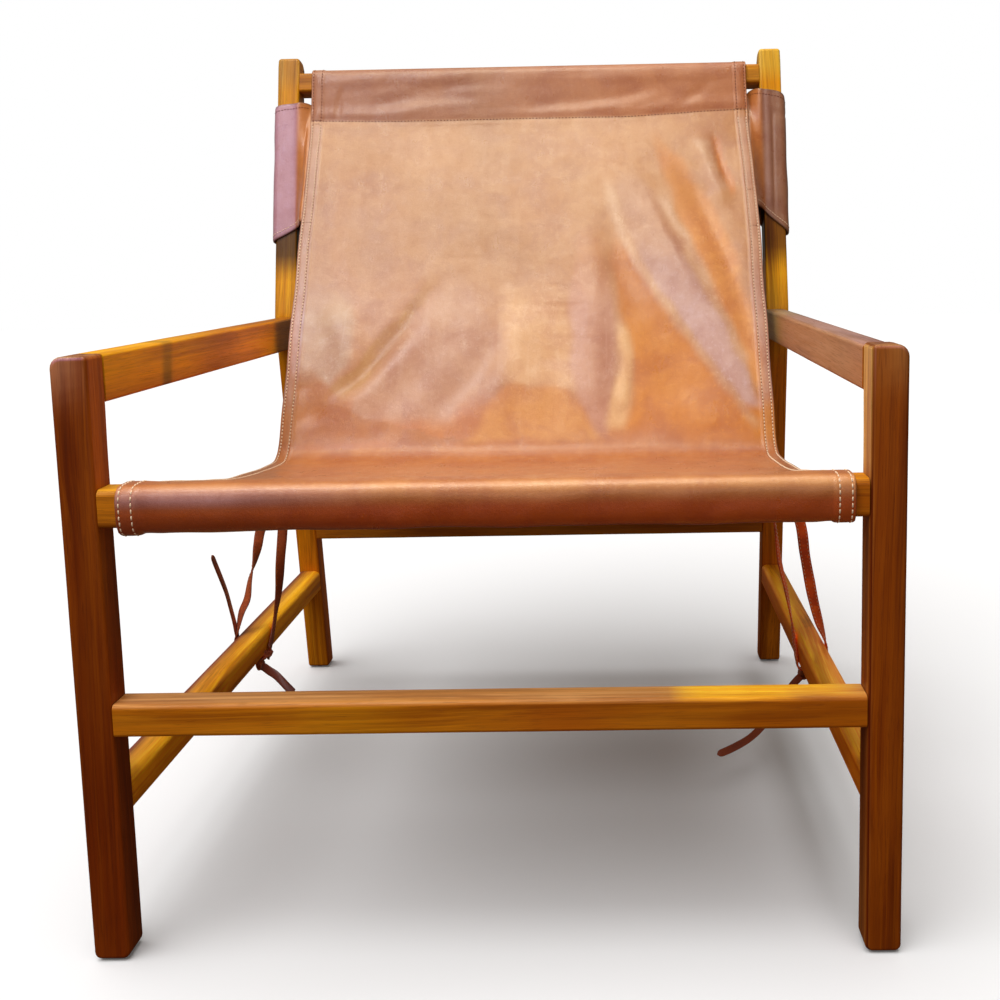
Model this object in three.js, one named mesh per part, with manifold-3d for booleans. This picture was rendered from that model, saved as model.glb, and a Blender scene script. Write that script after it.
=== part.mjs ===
// Leather sling lounge chair. Millimetres, +Z up. The chair faces -Y, its left
// and right are named as seen from the front: left is -X, right is +X.
// X = 0 is the middle, Z = 0 is the floor. The group is moved at the end so
// that the origin is the middle of the footprint.
import * as THREE from 'three';
import { mergeVertices } from 'three/addons/utils/BufferGeometryUtils.js';
import Module from 'manifold-3d';

const wasm = await Module();
wasm.setup();

// ------------------------------------------------------------ dimensions
const HALF_W = 355; // half of the overall width over the legs
const GAP = 0.3; // clearance between touching pieces
const GLIDE_H = 2; // the legs end this far above the floor

const LEG = 31.5; // front leg section, both ways
// the left leg and armrest stand a little higher than the right ones, and the left armrest falls to the rear
const LEG_TOP = { left: 536, right: 534.2 };
const ARM = { left: { top: 536, depth: 42.2, fall: 0.0045 }, right: { top: 532.4, depth: 39.4, fall: 0 } };
const ARM_MID = 513, ARM_W = 32.5;
const POST_W = 30.3, POST_D = 31; // rear post section
const POST_FOOT_Y = 713.3, POST_KINK_Y = 634.5, POST_TOP_Y = 718.1; // front face of the post
const POST_KINK_Z = 532.6, POST_TOP_Z = 895.6;

const RAIL_Z0 = 390, RAIL_Z1 = 423.5, RAIL_D = 32; // front seat rail
const CROSS_Z0 = 206.5, CROSS_Z1 = 235.5; // front and rear stretcher
const REAR_CROSS_Y0 = 680.5, REAR_CROSS_D = 28;
const SIDE_Z0 = 126, SIDE_Z1 = 156.4, SIDE_XO = 353.7, SIDE_XI = 325; // side stretchers
const TOP_RAIL_H = 28, TOP_RAIL_D = 30.2, TOP_RAIL_MID_Z = 857.5;
const TENON = 17; // how far a tenon goes in

const SLING_X0 = -305.5, SLING_X1 = 310.4; // side edges of the leather sling, which sits a little to the right
const LEATHER = 3.4; // sling thickness
const BINDING_T = 2.0, BINDING_W = 15; // edge strips sewn under the sling
const LOOP_T = 2.5; // leather of the post loops
const STRAP_T = 2.2, STRAP_W = 12.5; // tie straps

const LEG_IN = HALF_W - LEG, POST_IN = HALF_W - POST_W;
const postFront = (z) =>
  z < POST_KINK_Z
    ? POST_FOOT_Y + ((POST_KINK_Y - POST_FOOT_Y) * (z - GLIDE_H)) / (POST_KINK_Z - GLIDE_H)
    : POST_KINK_Y + ((POST_TOP_Y - POST_KINK_Y) * (z - POST_KINK_Z)) / (POST_TOP_Z - POST_KINK_Z);

// ------------------------------------------------------------- materials
const wood = (c) => new THREE.MeshStandardMaterial({ color: c, roughness: 0.45, metalness: 0 });
const WOOD_DARK = wood(0x7a3e14), WOOD_MID = wood(0x94521c), WOOD_GOLD = wood(0xb87a2a);
const LEATHER_MAT = new THREE.MeshStandardMaterial({ color: 0xc68a5e, roughness: 0.5, metalness: 0 });
const LEATHER_DARK = new THREE.MeshStandardMaterial({ color: 0x8a4420, roughness: 0.55, metalness: 0 });
const GLIDE_MAT = new THREE.MeshStandardMaterial({ color: 0x2a2018, roughness: 0.6, metalness: 0 });

// --------------------------------------------------------------- helpers
const v2 = (a, b) => new THREE.Vector2(a, b);
const v3 = (a, b, c) => new THREE.Vector3(a, b, c);

// A polygon with rounded corners: each corner is [a, b] or [a, b, radius].
function rounded(corners, radius = 0, steps = 3) {
  const out = [];
  const n = corners.length;
  for (let i = 0; i < n; i++) {
    const p = v2(corners[i][0], corners[i][1]);
    const a = v2(...corners[(i + n - 1) % n].slice(0, 2));
    const b = v2(...corners[(i + 1) % n].slice(0, 2));
    const r = corners[i][2] ?? radius;
    const u = a.clone().sub(p).normalize(), w = b.clone().sub(p).normalize();
    const angle = Math.acos(THREE.MathUtils.clamp(u.dot(w), -1, 1));
    if (r <= 0 || Math.PI - angle < 0.01) { out.push(p); continue; }
    const cut = r / Math.tan(angle / 2);
    const mid = p.clone().add(u.clone().add(w).normalize().multiplyScalar(r / Math.sin(angle / 2)));
    const s = p.clone().add(u.clone().multiplyScalar(cut)).sub(mid);
    const e = p.clone().add(w.clone().multiplyScalar(cut)).sub(mid);
    let turn = Math.atan2(s.x * e.y - s.y * e.x, s.dot(e));
    for (let k = 0; k <= steps; k++) {
      const t = (turn * k) / steps, c = Math.cos(t), q = Math.sin(t);
      out.push(v2(mid.x + s.x * c - s.y * q, mid.y + s.x * q + s.y * c));
    }
  }
  return out;
}

// Extrusions of an outline along each axis. The outline of along('x') is in
// (y, z), of along('y') in (x, z) and of along('z') in (x, y).
function along(axis, outline, from, to) {
  const pts = outline.map((p) => (axis === 'y' ? v2(p.y, p.x) : p));
  const g = new THREE.ExtrudeGeometry(new THREE.Shape(pts), { depth: to - from, bevelEnabled: false, curveSegments: 1 });
  const X = v3(1, 0, 0), Y = v3(0, 1, 0), Z = v3(0, 0, 1);
  const m = new THREE.Matrix4();
  if (axis === 'x') m.makeBasis(Y, Z, X).setPosition(from, 0, 0);
  if (axis === 'y') m.makeBasis(Z, X, Y).setPosition(0, from, 0);
  if (axis === 'z') m.makeBasis(X, Y, Z).setPosition(0, 0, from);
  return g.applyMatrix4(m);
}
function solid(geometry) {
  const g = geometry.clone();
  g.deleteAttribute('normal');
  g.deleteAttribute('uv');
  const m = mergeVertices(g, 1e-4);
  return new wasm.Manifold(new wasm.Mesh({
    numProp: 3,
    vertProperties: new Float32Array(m.attributes.position.array),
    triVerts: new Uint32Array(m.index.array),
  }));
}
function geometryOf(manifold) {
  const mesh = manifold.getMesh();
  const g = new THREE.BufferGeometry();
  g.setAttribute('position', new THREE.BufferAttribute(new Float32Array(mesh.vertProperties), 3));
  g.setIndex(new THREE.BufferAttribute(new Uint32Array(mesh.triVerts), 1));
  g.computeVertexNormals();
  return g;
}
const box = (x0, x1, y0, y1, z0, z1) =>
  solid(new THREE.BoxGeometry(x1 - x0, y1 - y0, z1 - z0).translate((x0 + x1) / 2, (y0 + y1) / 2, (z0 + z1) / 2));

// A tenon is a box; its mortise is the same box, a little larger and deeper.
const tenonBox = (t, by = 0) => box(t[0] - by, t[1] + by, t[2] - by, t[3] + by, t[4] - by, t[5] + by);

// A flat strip along a centre line in a plane, as an outline of that thickness.
function thick(points, t) {
  const left = [], right = [];
  for (let i = 0; i < points.length; i++) {
    const p = points[i], a = points[Math.max(i - 1, 0)], b = points[Math.min(i + 1, points.length - 1)];
    const d1 = p.clone().sub(a), d2 = b.clone().sub(p);
    if (i > 0) d1.normalize();
    if (i < points.length - 1) d2.normalize();
    const d = d1.clone().add(d2).normalize();
    const n = v2(-d.y, d.x);
    const k = i > 0 && i < points.length - 1 ? 1 / Math.max(0.5, n.dot(v2(-d1.y, d1.x))) : 1;
    left.push(p.clone().add(n.clone().multiplyScalar((t / 2) * k)));
    right.push(p.clone().sub(n.clone().multiplyScalar((t / 2) * k)));
  }
  return left.concat(right.reverse());
}
const smooth = (pts, n) => new THREE.CatmullRomCurve3(pts.map((p) => v3(p[0], p[1], 0)), false, 'centripetal').getSpacedPoints(n).map((p) => v2(p.x, p.y));

// A closed ribbon: a rectangle w wide and t thick that follows 3-D points.
// Each point is [x, y, z] and its width lies as near as can be to the side given.
function ribbon(points, sides, w, t) {
  const pos = [], idx = [];
  const P = points.map((p) => v3(...p));
  for (let i = 0; i < P.length; i++) {
    const T = P[Math.min(i + 1, P.length - 1)].clone().sub(P[Math.max(i - 1, 0)]).normalize();
    const S = v3(...(Array.isArray(sides[0]) ? sides[i] : sides));
    S.sub(T.clone().multiplyScalar(S.dot(T))).normalize();
    const N = T.clone().cross(S);
    for (const [a, b] of [[-1, -1], [1, -1], [1, 1], [-1, 1]]) {
      const q = P[i].clone().add(S.clone().multiplyScalar((a * w) / 2)).add(N.clone().multiplyScalar((b * t) / 2));
      pos.push(q.x, q.y, q.z);
    }
  }
  const n = P.length;
  for (let i = 0; i < n - 1; i++)
    for (let k = 0; k < 4; k++) {
      const a = 4 * i + k, b = 4 * i + ((k + 1) % 4), c = a + 4, d = b + 4;
      idx.push(a, b, d, a, d, c);
    }
  idx.push(0, 3, 2, 0, 2, 1);
  const e = 4 * (n - 1);
  idx.push(e, e + 1, e + 2, e, e + 2, e + 3);
  const g = new THREE.BufferGeometry();
  g.setAttribute('position', new THREE.Float32BufferAttribute(pos, 3));
  g.setIndex(idx);
  g.computeVertexNormals();
  return g;
}
const spline = (pts, n) => new THREE.CatmullRomCurve3(pts.map((p) => v3(...p)), false, 'centripetal').getPoints(n * (pts.length - 1)).map((p) => [p.x, p.y, p.z]);

const chair = new THREE.Group();
const model = new THREE.Group();
chair.add(model);
function add(name, geometry, material) {
  const mesh = new THREE.Mesh(geometry, material);
  mesh.name = name;
  model.add(mesh);
  return mesh;
}
// the same piece on the other side
function mirrored(geometry) {
  const g = geometry.clone().applyMatrix4(new THREE.Matrix4().makeScale(-1, 1, 1));
  const i = g.index.array;
  for (let k = 0; k < i.length; k += 3) { const t = i[k]; i[k] = i[k + 1]; i[k + 1] = t; }
  g.computeVertexNormals();
  return g;
}

// ---------------------------------------------------------------- joints
// Every tenon, as [x0, x1, y0, y1, z0, z1], for the left side.
const mid = (a, b) => (a + b) / 2;
const railZ = mid(RAIL_Z0, RAIL_Z1), crossZ = mid(CROSS_Z0, CROSS_Z1), sideZ = mid(SIDE_Z0, SIDE_Z1);
const sideX = -mid(SIDE_XO, SIDE_XI), armX = -(HALF_W - LEG / 2), armZ = ARM_MID;
const lean = Math.atan2(POST_TOP_Y - POST_KINK_Y, POST_TOP_Z - POST_KINK_Z);
const topRailY = postFront(TOP_RAIL_MID_Z) + POST_D / 2;
const rearCrossY = REAR_CROSS_Y0 + REAR_CROSS_D / 2;
const T = {
  rail: [-LEG_IN - TENON, -LEG_IN + 4, RAIL_D / 2 - 8, RAIL_D / 2 + 8, railZ - 9, railZ + 9],
  cross: [-LEG_IN - TENON, -LEG_IN + 4, LEG / 2 - 8, LEG / 2 + 8, crossZ - 8, crossZ + 8],
  sideFront: [sideX - 7, sideX + 7, LEG - TENON, LEG + 6, sideZ - 8, sideZ + 8],
  sideRear: [sideX - 7, sideX + 7, postFront(SIDE_Z0) - 8, postFront(sideZ) + TENON, sideZ - 8, sideZ + 8],
  armFront: [armX - 8, armX + 8, LEG - TENON, LEG + 6, armZ - 10, armZ + 10],
  armRear: [armX - 8, armX + 8, postFront(armZ) - 8, postFront(armZ) + TENON, armZ - 10, armZ + 10],
  rearCross: [-POST_IN - TENON, -POST_IN + 4, rearCrossY - 7, rearCrossY + 7, crossZ - 8, crossZ + 8],
  topRail: [-POST_IN - TENON, -POST_IN + 4, topRailY - 7, topRailY + 7, TOP_RAIL_MID_Z - 7, TOP_RAIL_MID_Z + 7],
};
const grow = 0.35;

// ------------------------------------------------------------ front legs
function frontLeg(h1) {
  const h0 = GLIDE_H;
  const plan = along('z', rounded([[-HALF_W, 0, 4], [-LEG_IN, 0, 3.5], [-LEG_IN, LEG, 3.5], [-HALF_W, LEG, 3.5]]), h0, h1);
  const face = along('y', rounded([[-HALF_W, h0, 5], [-LEG_IN, h0, 6], [-LEG_IN, h1, 2.5], [-HALF_W, h1, 10]]), -1, LEG + 1);
  const side = along('x', rounded([[0, h0, 5], [LEG, h0, 5], [LEG, h1, 0.5], [0, h1, 5]]), -HALF_W - 1, -LEG_IN + 1);
  let leg = solid(plan).intersect(solid(face)).intersect(solid(side));
  for (const t of [T.rail, T.cross, T.sideFront, T.armFront]) leg = leg.subtract(tenonBox(t, grow));
  const pin = solid(new THREE.CylinderGeometry(1.9, 1.9, 14, 10).rotateX(Math.PI / 2).translate(-HALF_W + LEG / 2, LEG / 2, GLIDE_H + 6));
  leg = leg.subtract(pin);
  return geometryOf(leg);
}
add('front_leg_left', frontLeg(LEG_TOP.left), WOOD_DARK);
add('front_leg_right', mirrored(frontLeg(LEG_TOP.right)), WOOD_DARK);

// ------------------------------------------------------------ rear posts
{
  const outline = rounded([
    [POST_FOOT_Y, GLIDE_H, 5],
    [POST_KINK_Y, POST_KINK_Z, 12],
    [POST_TOP_Y, POST_TOP_Z, 5],
    [POST_TOP_Y + POST_D - 1, POST_TOP_Z - 5, 14],
    [POST_KINK_Y + POST_D, POST_KINK_Z, 12],
    [POST_FOOT_Y + POST_D, GLIDE_H, 5],
  ]);
  const body = along('x', outline, -HALF_W, -POST_IN);
  const face = along('y', rounded([[-HALF_W, GLIDE_H, 4], [-POST_IN, GLIDE_H, 4], [-POST_IN, POST_TOP_Z, 6], [-HALF_W, POST_TOP_Z, 6]]), 600, 800);
  // the long edges are eased: the post is cut by the same outline set back, at 45 degrees
  const ease = 3;
  let post = solid(body).intersect(solid(face));
  for (const [y0, z0, y1, z1, s] of [
    [POST_FOOT_Y, GLIDE_H, POST_KINK_Y, POST_KINK_Z, 1], [POST_KINK_Y, POST_KINK_Z, POST_TOP_Y, POST_TOP_Z, 1],
    [POST_FOOT_Y + POST_D, GLIDE_H, POST_KINK_Y + POST_D, POST_KINK_Z, -1], [POST_KINK_Y + POST_D, POST_KINK_Z, POST_TOP_Y + POST_D, POST_TOP_Z, -1],
  ])
    for (const x of [-HALF_W, -POST_IN]) {
      const d = v3(0, y1 - y0, z1 - z0), len = d.length() + 40;
      const g = new THREE.BoxGeometry(ease * Math.SQRT2, ease * Math.SQRT2, len).rotateZ(Math.PI / 4);
      g.rotateX(-Math.atan2(y1 - y0, z1 - z0)).translate(x, (y0 + y1) / 2, (z0 + z1) / 2);
      post = post.subtract(solid(g));
    }
  for (const t of [T.sideRear, T.armRear, T.rearCross, T.topRail]) post = post.subtract(tenonBox(t, grow));
  const pin = solid(new THREE.CylinderGeometry(1.9, 1.9, 14, 10).rotateX(Math.PI / 2).translate(-mid(HALF_W, POST_IN), POST_FOOT_Y + POST_D / 2, GLIDE_H + 6));
  post = post.subtract(pin);
  const g = geometryOf(post);
  add('rear_post_left', g, WOOD_GOLD);
  add('rear_post_right', mirrored(g), WOOD_GOLD);
}

// --------------------------------------------------------------- armrests
function armrest({ top, depth, fall }) {
  const z0 = top - depth, z1 = top, xi = -(HALF_W - ARM_W);
  const lower = new THREE.Matrix4().set(1, 0, 0, 0, 0, 1, 0, 0, 0, -fall, 1, fall * LEG, 0, 0, 0, 1);
  const plan = along('y', rounded([[-HALF_W, z0, 5], [xi, z0, 3.5], [xi, z1, 3.5], [-HALF_W, z1, 10]]), LEG + GAP, 700).applyMatrix4(lower);
  const rear = (z) => postFront(Math.min(z, POST_KINK_Z)) - GAP;
  const side = along('x', [v2(LEG + GAP, 480), v2(rear(480), 480), v2(rear(POST_KINK_Z), POST_KINK_Z), v2(rear(POST_KINK_Z), 545), v2(LEG + GAP, 545)], -HALF_W - 1, xi + 1);
  let arm = solid(plan).intersect(solid(side));
  for (const t of [T.armFront, T.armRear]) arm = arm.add(tenonBox(t));
  return geometryOf(arm);
}
add('armrest_left', armrest(ARM.left), WOOD_MID);
add('armrest_right', mirrored(armrest(ARM.right)), WOOD_MID);

// ------------------------------------------------- rails between the legs
function crossPiece(outline, inner, tenon) {
  let s = solid(along('x', outline, -inner + GAP, inner - GAP));
  const other = [-tenon[1], -tenon[0], ...tenon.slice(2)];
  return geometryOf(s.add(tenonBox(tenon)).add(tenonBox(other)));
}
add('front_seat_rail', crossPiece(rounded([[0, RAIL_Z0, 5.5], [RAIL_D, RAIL_Z0, 4.5], [RAIL_D, RAIL_Z1, 6], [0, RAIL_Z1, 6]]), LEG_IN, T.rail), WOOD_GOLD);
add('front_stretcher', crossPiece(rounded([[0, CROSS_Z0, 3.5], [LEG, CROSS_Z0, 3.5], [LEG, CROSS_Z1, 4], [0, CROSS_Z1, 4.5]]), LEG_IN, T.cross), WOOD_MID);
add('rear_stretcher', crossPiece(rounded([[REAR_CROSS_Y0, CROSS_Z0, 3.5], [REAR_CROSS_Y0 + REAR_CROSS_D, CROSS_Z0, 3.5], [REAR_CROSS_Y0 + REAR_CROSS_D, CROSS_Z1, 4], [REAR_CROSS_Y0, CROSS_Z1, 4]]), POST_IN, T.rearCross), WOOD_MID);
const tilted = (a, b) => {
  // a is across the post, forward to back; b is up along it
  const c = Math.cos(lean), s = Math.sin(lean);
  return [topRailY + a * c + b * s, TOP_RAIL_MID_Z - a * s + b * c];
};
{
  const a = TOP_RAIL_D / 2, b = TOP_RAIL_H / 2;
  add('top_rail', crossPiece(rounded([[...tilted(-a, -b), 4], [...tilted(a, -b), 4], [...tilted(a, b), 5], [...tilted(-a, b), 5]]), POST_IN, T.topRail), WOOD_GOLD);
}

// -------------------------------------------------------- side stretchers
{
  const plan = along('y', rounded([[-SIDE_XO, SIDE_Z0, 4], [-SIDE_XI, SIDE_Z0, 4], [-SIDE_XI, SIDE_Z1, 7], [-SIDE_XO, SIDE_Z1, 4]], 0, 4), LEG + GAP, 780);
  const side = along('x', rounded([[LEG + GAP, SIDE_Z0], [postFront(SIDE_Z0) - GAP, SIDE_Z0], [postFront(SIDE_Z1) - GAP, SIDE_Z1], [LEG + GAP, SIDE_Z1]]), -SIDE_XO - 1, -SIDE_XI + 1);
  let bar = solid(plan).intersect(solid(side));
  for (const t of [T.sideFront, T.sideRear]) bar = bar.add(tenonBox(t));
  const g = geometryOf(bar);
  add('side_stretcher_left', g, WOOD_GOLD);
  add('side_stretcher_right', mirrored(g), WOOD_GOLD);
}

// ----------------------------------------------------------- leather sling
// Its centre line from under the front rail, round it, along the seat, up the
// back and over the top rail, in (y, z).
const frontTube = [[14, 387.0], [6, 387.4], [-1.2, 390.5], [-3.6, 398], [-3.9, 408], [-3.3, 416.5], [-0.6, 422.7], [4.5, 425.7], [14, 426.0], [25, 425.7], [36, 422.2]];
const seatLine = [[60, 416.8], [100, 408.6], [140, 400.9], [180, 393.1], [218, 385.8], [255, 379.6], [287, 375.4], [320, 371.8], [350, 369.3], [380, 366.8], [405, 365.2], [424, 364.6], [438, 366.4], [450, 373.2], [459.5, 385.6]];
const backLine = [[487.5, 436], [515.3, 486], [543, 536], [570.8, 586], [598.6, 636], [626.4, 686], [654.2, 736], [673, 769.8], [684, 790], [692, 808], [699, 829], [703.6, 846]];
const [ty0, tz0] = tilted(-TOP_RAIL_D / 2 - 2.3, TOP_RAIL_H / 2 - 2);
const [ty1, tz1] = tilted(-TOP_RAIL_D / 2 + 2, TOP_RAIL_H / 2 + 2.5);
const [ty2, tz2] = tilted(0, TOP_RAIL_H / 2 + 3.0);
const [ty3, tz3] = tilted(TOP_RAIL_D / 2 - 2, TOP_RAIL_H / 2 + 2.5);
const [ty4, tz4] = tilted(TOP_RAIL_D / 2 + 2.3, TOP_RAIL_H / 2 - 2);
const [ty5, tz5] = tilted(TOP_RAIL_D / 2 + 2.5, 0);
const topTurn = [[ty0, tz0], [ty1, tz1], [ty2, tz2], [ty3, tz3], [ty4, tz4], [ty5, tz5]];
const centre = smooth(frontTube, 20).concat(
  smooth([frontTube.at(-1), ...seatLine], 44).slice(1),
  smooth([seatLine.at(-1), ...backLine], 16).slice(1),
  smooth([backLine.at(-1), ...topTurn], 20).slice(1),
);
{
  const main = solid(along('x', thick(centre, LEATHER), SLING_X0, SLING_X1));
  // the flap that closes the front sleeve, sewn under the seat behind the rail
  const frontFlap = smooth([[19, 386.95], [10, 387.1]].reverse().concat([[30, 387.4], [38, 390.2], [43, 396], [50, 405.4], [58, 411.6], [66, 412.6], [82, 409.3]]), 22);
  // the flap that closes the top hem, sewn to the back of the panel
  const b = TOP_RAIL_D / 2 + 2.5, h = TOP_RAIL_H / 2;
  const down = [tilted(b, 6), tilted(b, 0), tilted(b, 4 - h), tilted(b - 1.5, -h - 2), [736, 829], [724, 817], [708, 807.6], [696.5, 803.6], [691.6, 798], [687.6, 790.4], [685, 785.4]];
  const topFlap = smooth(down, 30);
  const whole = main
    .add(solid(along('x', thick(frontFlap, LEATHER), SLING_X0, SLING_X1)))
    .add(solid(along('x', thick(topFlap, LEATHER), SLING_X0, SLING_X1)))
    // the right edge runs in a little toward the top
    .subtract(solid(along('y', [v2(310.6, 690), v2(305.5, 790), v2(305.5, 920), v2(330, 920), v2(330, 690)], 500, 800)));
  add('sling', geometryOf(whole), LEATHER_MAT);
}

// ------------------------------------- leather strips under the sling's edges
{
  const away = LEATHER / 2 + GAP + 0.1 + BINDING_T / 2;
  const under = [];
  for (let i = 1; i < centre.length - 1; i++) {
    const p = centre[i];
    const d = centre[i + 1].clone().sub(centre[i - 1]).normalize();
    const isSeat = p.x > 96 && p.y < 500, isBack = p.y >= 300 && p.x > 420 && p.y < 766;
    if (isSeat || isBack) under.push(v2(p.x + d.y * away, p.y - d.x * away));
  }
  const g = geometryOf(solid(along('x', thick(under, BINDING_T), SLING_X0 + 1, SLING_X0 + 1 + BINDING_W)));
  add('edge_strip_left', g, LEATHER_MAT);
  add('edge_strip_right', mirrored(g).translate(4.2, 0, 0), LEATHER_MAT);
}

// ------------------------------ leather loops that hold the sling to the posts
const slingY = (z) => 459.5 + ((z - 385.6) * (673 - 459.5)) / (769.8 - 385.6);
{
  const off = 7.2;
  // x, y as a function of height, lower end, upper end
  const path = [
    [-288, (z) => slingY(z) + off, 668, 766],
    [-304.4, (z) => slingY(z) + off, 664, 770],
    [-309.2, (z) => slingY(z) + off - 0.6, 663, 822],
    [-314.5, (z) => slingY(z) * 0.55 + (postFront(z) - 4.0) * 0.45 + off * 0.45, 660, 826],
    [-323.5, (z) => postFront(z) - 4.0, 656, 826],
    [-329, (z) => postFront(z) - 2.1, 652, 826],
    [-353.5, (z) => postFront(z) - 2.1, 640, 825],
    [-356.7, (z) => postFront(z) + 0.5, 637, 823],
    [-357.1, (z) => postFront(z) + 8, 636, 821],
    [-357.1, (z) => postFront(z) + POST_D - 4, 634, 818],
    [-355.2, (z) => postFront(z) + POST_D + 1.4, 634, 817],
    [-351, (z) => postFront(z) + POST_D + 2.1, 635, 817],
    [-327, (z) => postFront(z) + POST_D + 2.1, 645, 820],
    [-322.4, (z) => postFront(z) + POST_D - 1.3, 650, 822],
    [-309.6, (z) => slingY(z) + off + 4.2, 663, 822],
    [-304.4, (z) => slingY(z) + off + 2.9, 664, 770],
    [-288, (z) => slingY(z) + off + 2.9, 668, 766],
  ];
  const n = path.length, levels = 6;
  const pos = [], idx = [];
  for (let level = 0; level < levels; level++) {
    const line = path.map(([x, y, z0, z1]) => { const z = z0 + ((z1 - z0) * level) / (levels - 1); return { p: v2(x, y(z)), z }; });
    const both = thick(line.map((q) => q.p), LOOP_T); // left side forward, right side backward
    for (let i = 0; i < n; i++) {
      const a = both[i], b = both[2 * n - 1 - i];
      pos.push(a.x, a.y, line[i].z, b.x, b.y, line[i].z);
    }
  }
  const at = (level, i, s) => level * 2 * n + 2 * i + s;
  const q = (a, b, c, d) => idx.push(a, b, c, a, c, d);
  for (let i = 0; i < n - 1; i++) {
    for (let l = 0; l < levels - 1; l++) {
      q(at(l, i, 0), at(l + 1, i, 0), at(l + 1, i + 1, 0), at(l, i + 1, 0));
      q(at(l, i, 1), at(l, i + 1, 1), at(l + 1, i + 1, 1), at(l + 1, i, 1));
    }
    q(at(levels - 1, i, 0), at(levels - 1, i, 1), at(levels - 1, i + 1, 1), at(levels - 1, i + 1, 0));
    q(at(0, i, 0), at(0, i + 1, 0), at(0, i + 1, 1), at(0, i, 1));
  }
  for (let l = 0; l < levels - 1; l++) {
    q(at(l, 0, 0), at(l, 0, 1), at(l + 1, 0, 1), at(l + 1, 0, 0));
    q(at(l, n - 1, 0), at(l + 1, n - 1, 0), at(l + 1, n - 1, 1), at(l, n - 1, 1));
  }
  const g = new THREE.BufferGeometry();
  g.setAttribute('position', new THREE.Float32BufferAttribute(pos, 3));
  g.setIndex(idx);
  // turn the faces outward whichever way the path ran
  let volume = 0;
  const P = (k) => v3(pos[3 * k], pos[3 * k + 1], pos[3 * k + 2]);
  for (let k = 0; k < idx.length; k += 3) volume += P(idx[k]).dot(P(idx[k + 1]).cross(P(idx[k + 2])));
  if (volume < 0) for (let k = 0; k < idx.length; k += 3) { const t = g.index.array[k]; g.index.array[k] = g.index.array[k + 1]; g.index.array[k + 1] = t; }
  g.computeVertexNormals();
  add('post_loop_left', g, LEATHER_MAT);
  add('post_loop_right', mirrored(g), LEATHER_MAT);
}

// ------------------------------------------------------------- tie straps
// Each strap is sewn under the sling near the crease, goes down outside the
// side stretcher, under it, and up inside it to the sling again.
const underSeat = (y) => {
  for (let i = 8; i < seatLine.length; i++) if (seatLine[i][0] >= y) {
    const [a, b] = [seatLine[i - 1], seatLine[i]];
    return a[1] + ((b[1] - a[1]) * (y - a[0])) / (b[0] - a[0]);
  }
  return 364.6;
};
function strap(sx, outerTopY, innerTopY, outerLow, innerLow, bottomY, lowInner) {
  const drop = LEATHER / 2 + BINDING_T + 2 * GAP + STRAP_T / 2 + 0.8;
  const zo = underSeat(outerTopY) - drop, zi = Math.min(underSeat(innerTopY), 364.6) - drop;
  const p = [
    [-279, outerTopY, zo], [-292, outerTopY, zo], [-303, outerTopY, zo - 2.5], [-309, outerTopY, zo - 10], [-314, outerTopY, zo - 32],
    [-331, (outerTopY + outerLow) / 2, 277], [-345, outerLow, 205], [-354.6, outerLow, 168], [-355.6, mid(outerLow, bottomY), 152], [-355.6, bottomY, 131],
    [-354.6, bottomY, 125.2], [-350, bottomY, 123.6], [-341, bottomY, 123.5], [-329, bottomY, 123.6], [-324.3, bottomY, 125.2], [-323, bottomY, 131],
    [-322.6, lowInner, 148], [-320.5, innerLow, 172], [-316, innerLow, 200], [-307, innerTopY, 262], [-302.5, innerTopY, 320],
    [-299, innerTopY, zi - 9], [-294, innerTopY, zi - 2.2], [-287, innerTopY, zi], [-275, innerTopY, zi],
  ];
  const q = spline(p, 3).map(([x, y, z]) => [x * sx, y, z]);
  return ribbon(q, [0, sx, 0], STRAP_W, STRAP_T);
}
function outward(g) {
  const pos = g.attributes.position, i = g.index.array;
  let volume = 0;
  const P = (k) => v3(pos.getX(k), pos.getY(k), pos.getZ(k));
  for (let k = 0; k < i.length; k += 3) volume += P(i[k]).dot(P(i[k + 1]).cross(P(i[k + 2])));
  if (volume < 0) for (let k = 0; k < i.length; k += 3) { const t = i[k]; i[k] = i[k + 1]; i[k + 1] = t; }
  g.computeVertexNormals();
  return g;
}
add('tie_strap_left', outward(strap(1, 411, 453, 412, 453, 411, 436)), LEATHER_DARK);
add('tie_strap_right', outward(strap(-1, 336, 455, 360, 398, 341, 358)), LEATHER_DARK);

// the loose ends of the straps, and the knots they come out of
function knot(x, y, z) {
  const g = solid(new THREE.SphereGeometry(1, 12, 8).scale(6.2, 9.5, 4.8).translate(x, y, z));
  return geometryOf(g);
}
add('tie_knot_left', knot(-331, 411, 117.2), LEATHER_DARK);
add('tie_knot_right', knot(331, 341, 117.2), LEATHER_DARK);
add('strap_end_left_upper', outward(ribbon(spline([[-356.0, 429, 160], [-356.2, 418, 182], [-356.4, 398, 208], [-356.4, 379, 232], [-356.2, 361, 255], [-356.0, 345, 276]], 2), [0.2, 1, 1], 9, STRAP_T)), LEATHER_DARK);
add('strap_end_left_lower', outward(ribbon(spline([[-324.6, 403, 116.6], [-316, 397, 113.5], [-302, 386, 106.5], [-288, 377, 99], [-275, 369, 90], [-264, 362, 79]], 2), [0.35, 1, 0.6], 10, STRAP_T)), LEATHER_DARK);
add('strap_end_right_lower', outward(ribbon(spline([[323.4, 346, 114.5], [318, 344, 106], [306, 340, 90], [292, 336, 74], [277, 330, 61], [260, 322, 53], [240, 312, 48.5], [219.6, 300, 46.6]], 3), [0.2, 1, 0.35], 9, STRAP_T)), LEATHER_DARK);

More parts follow.
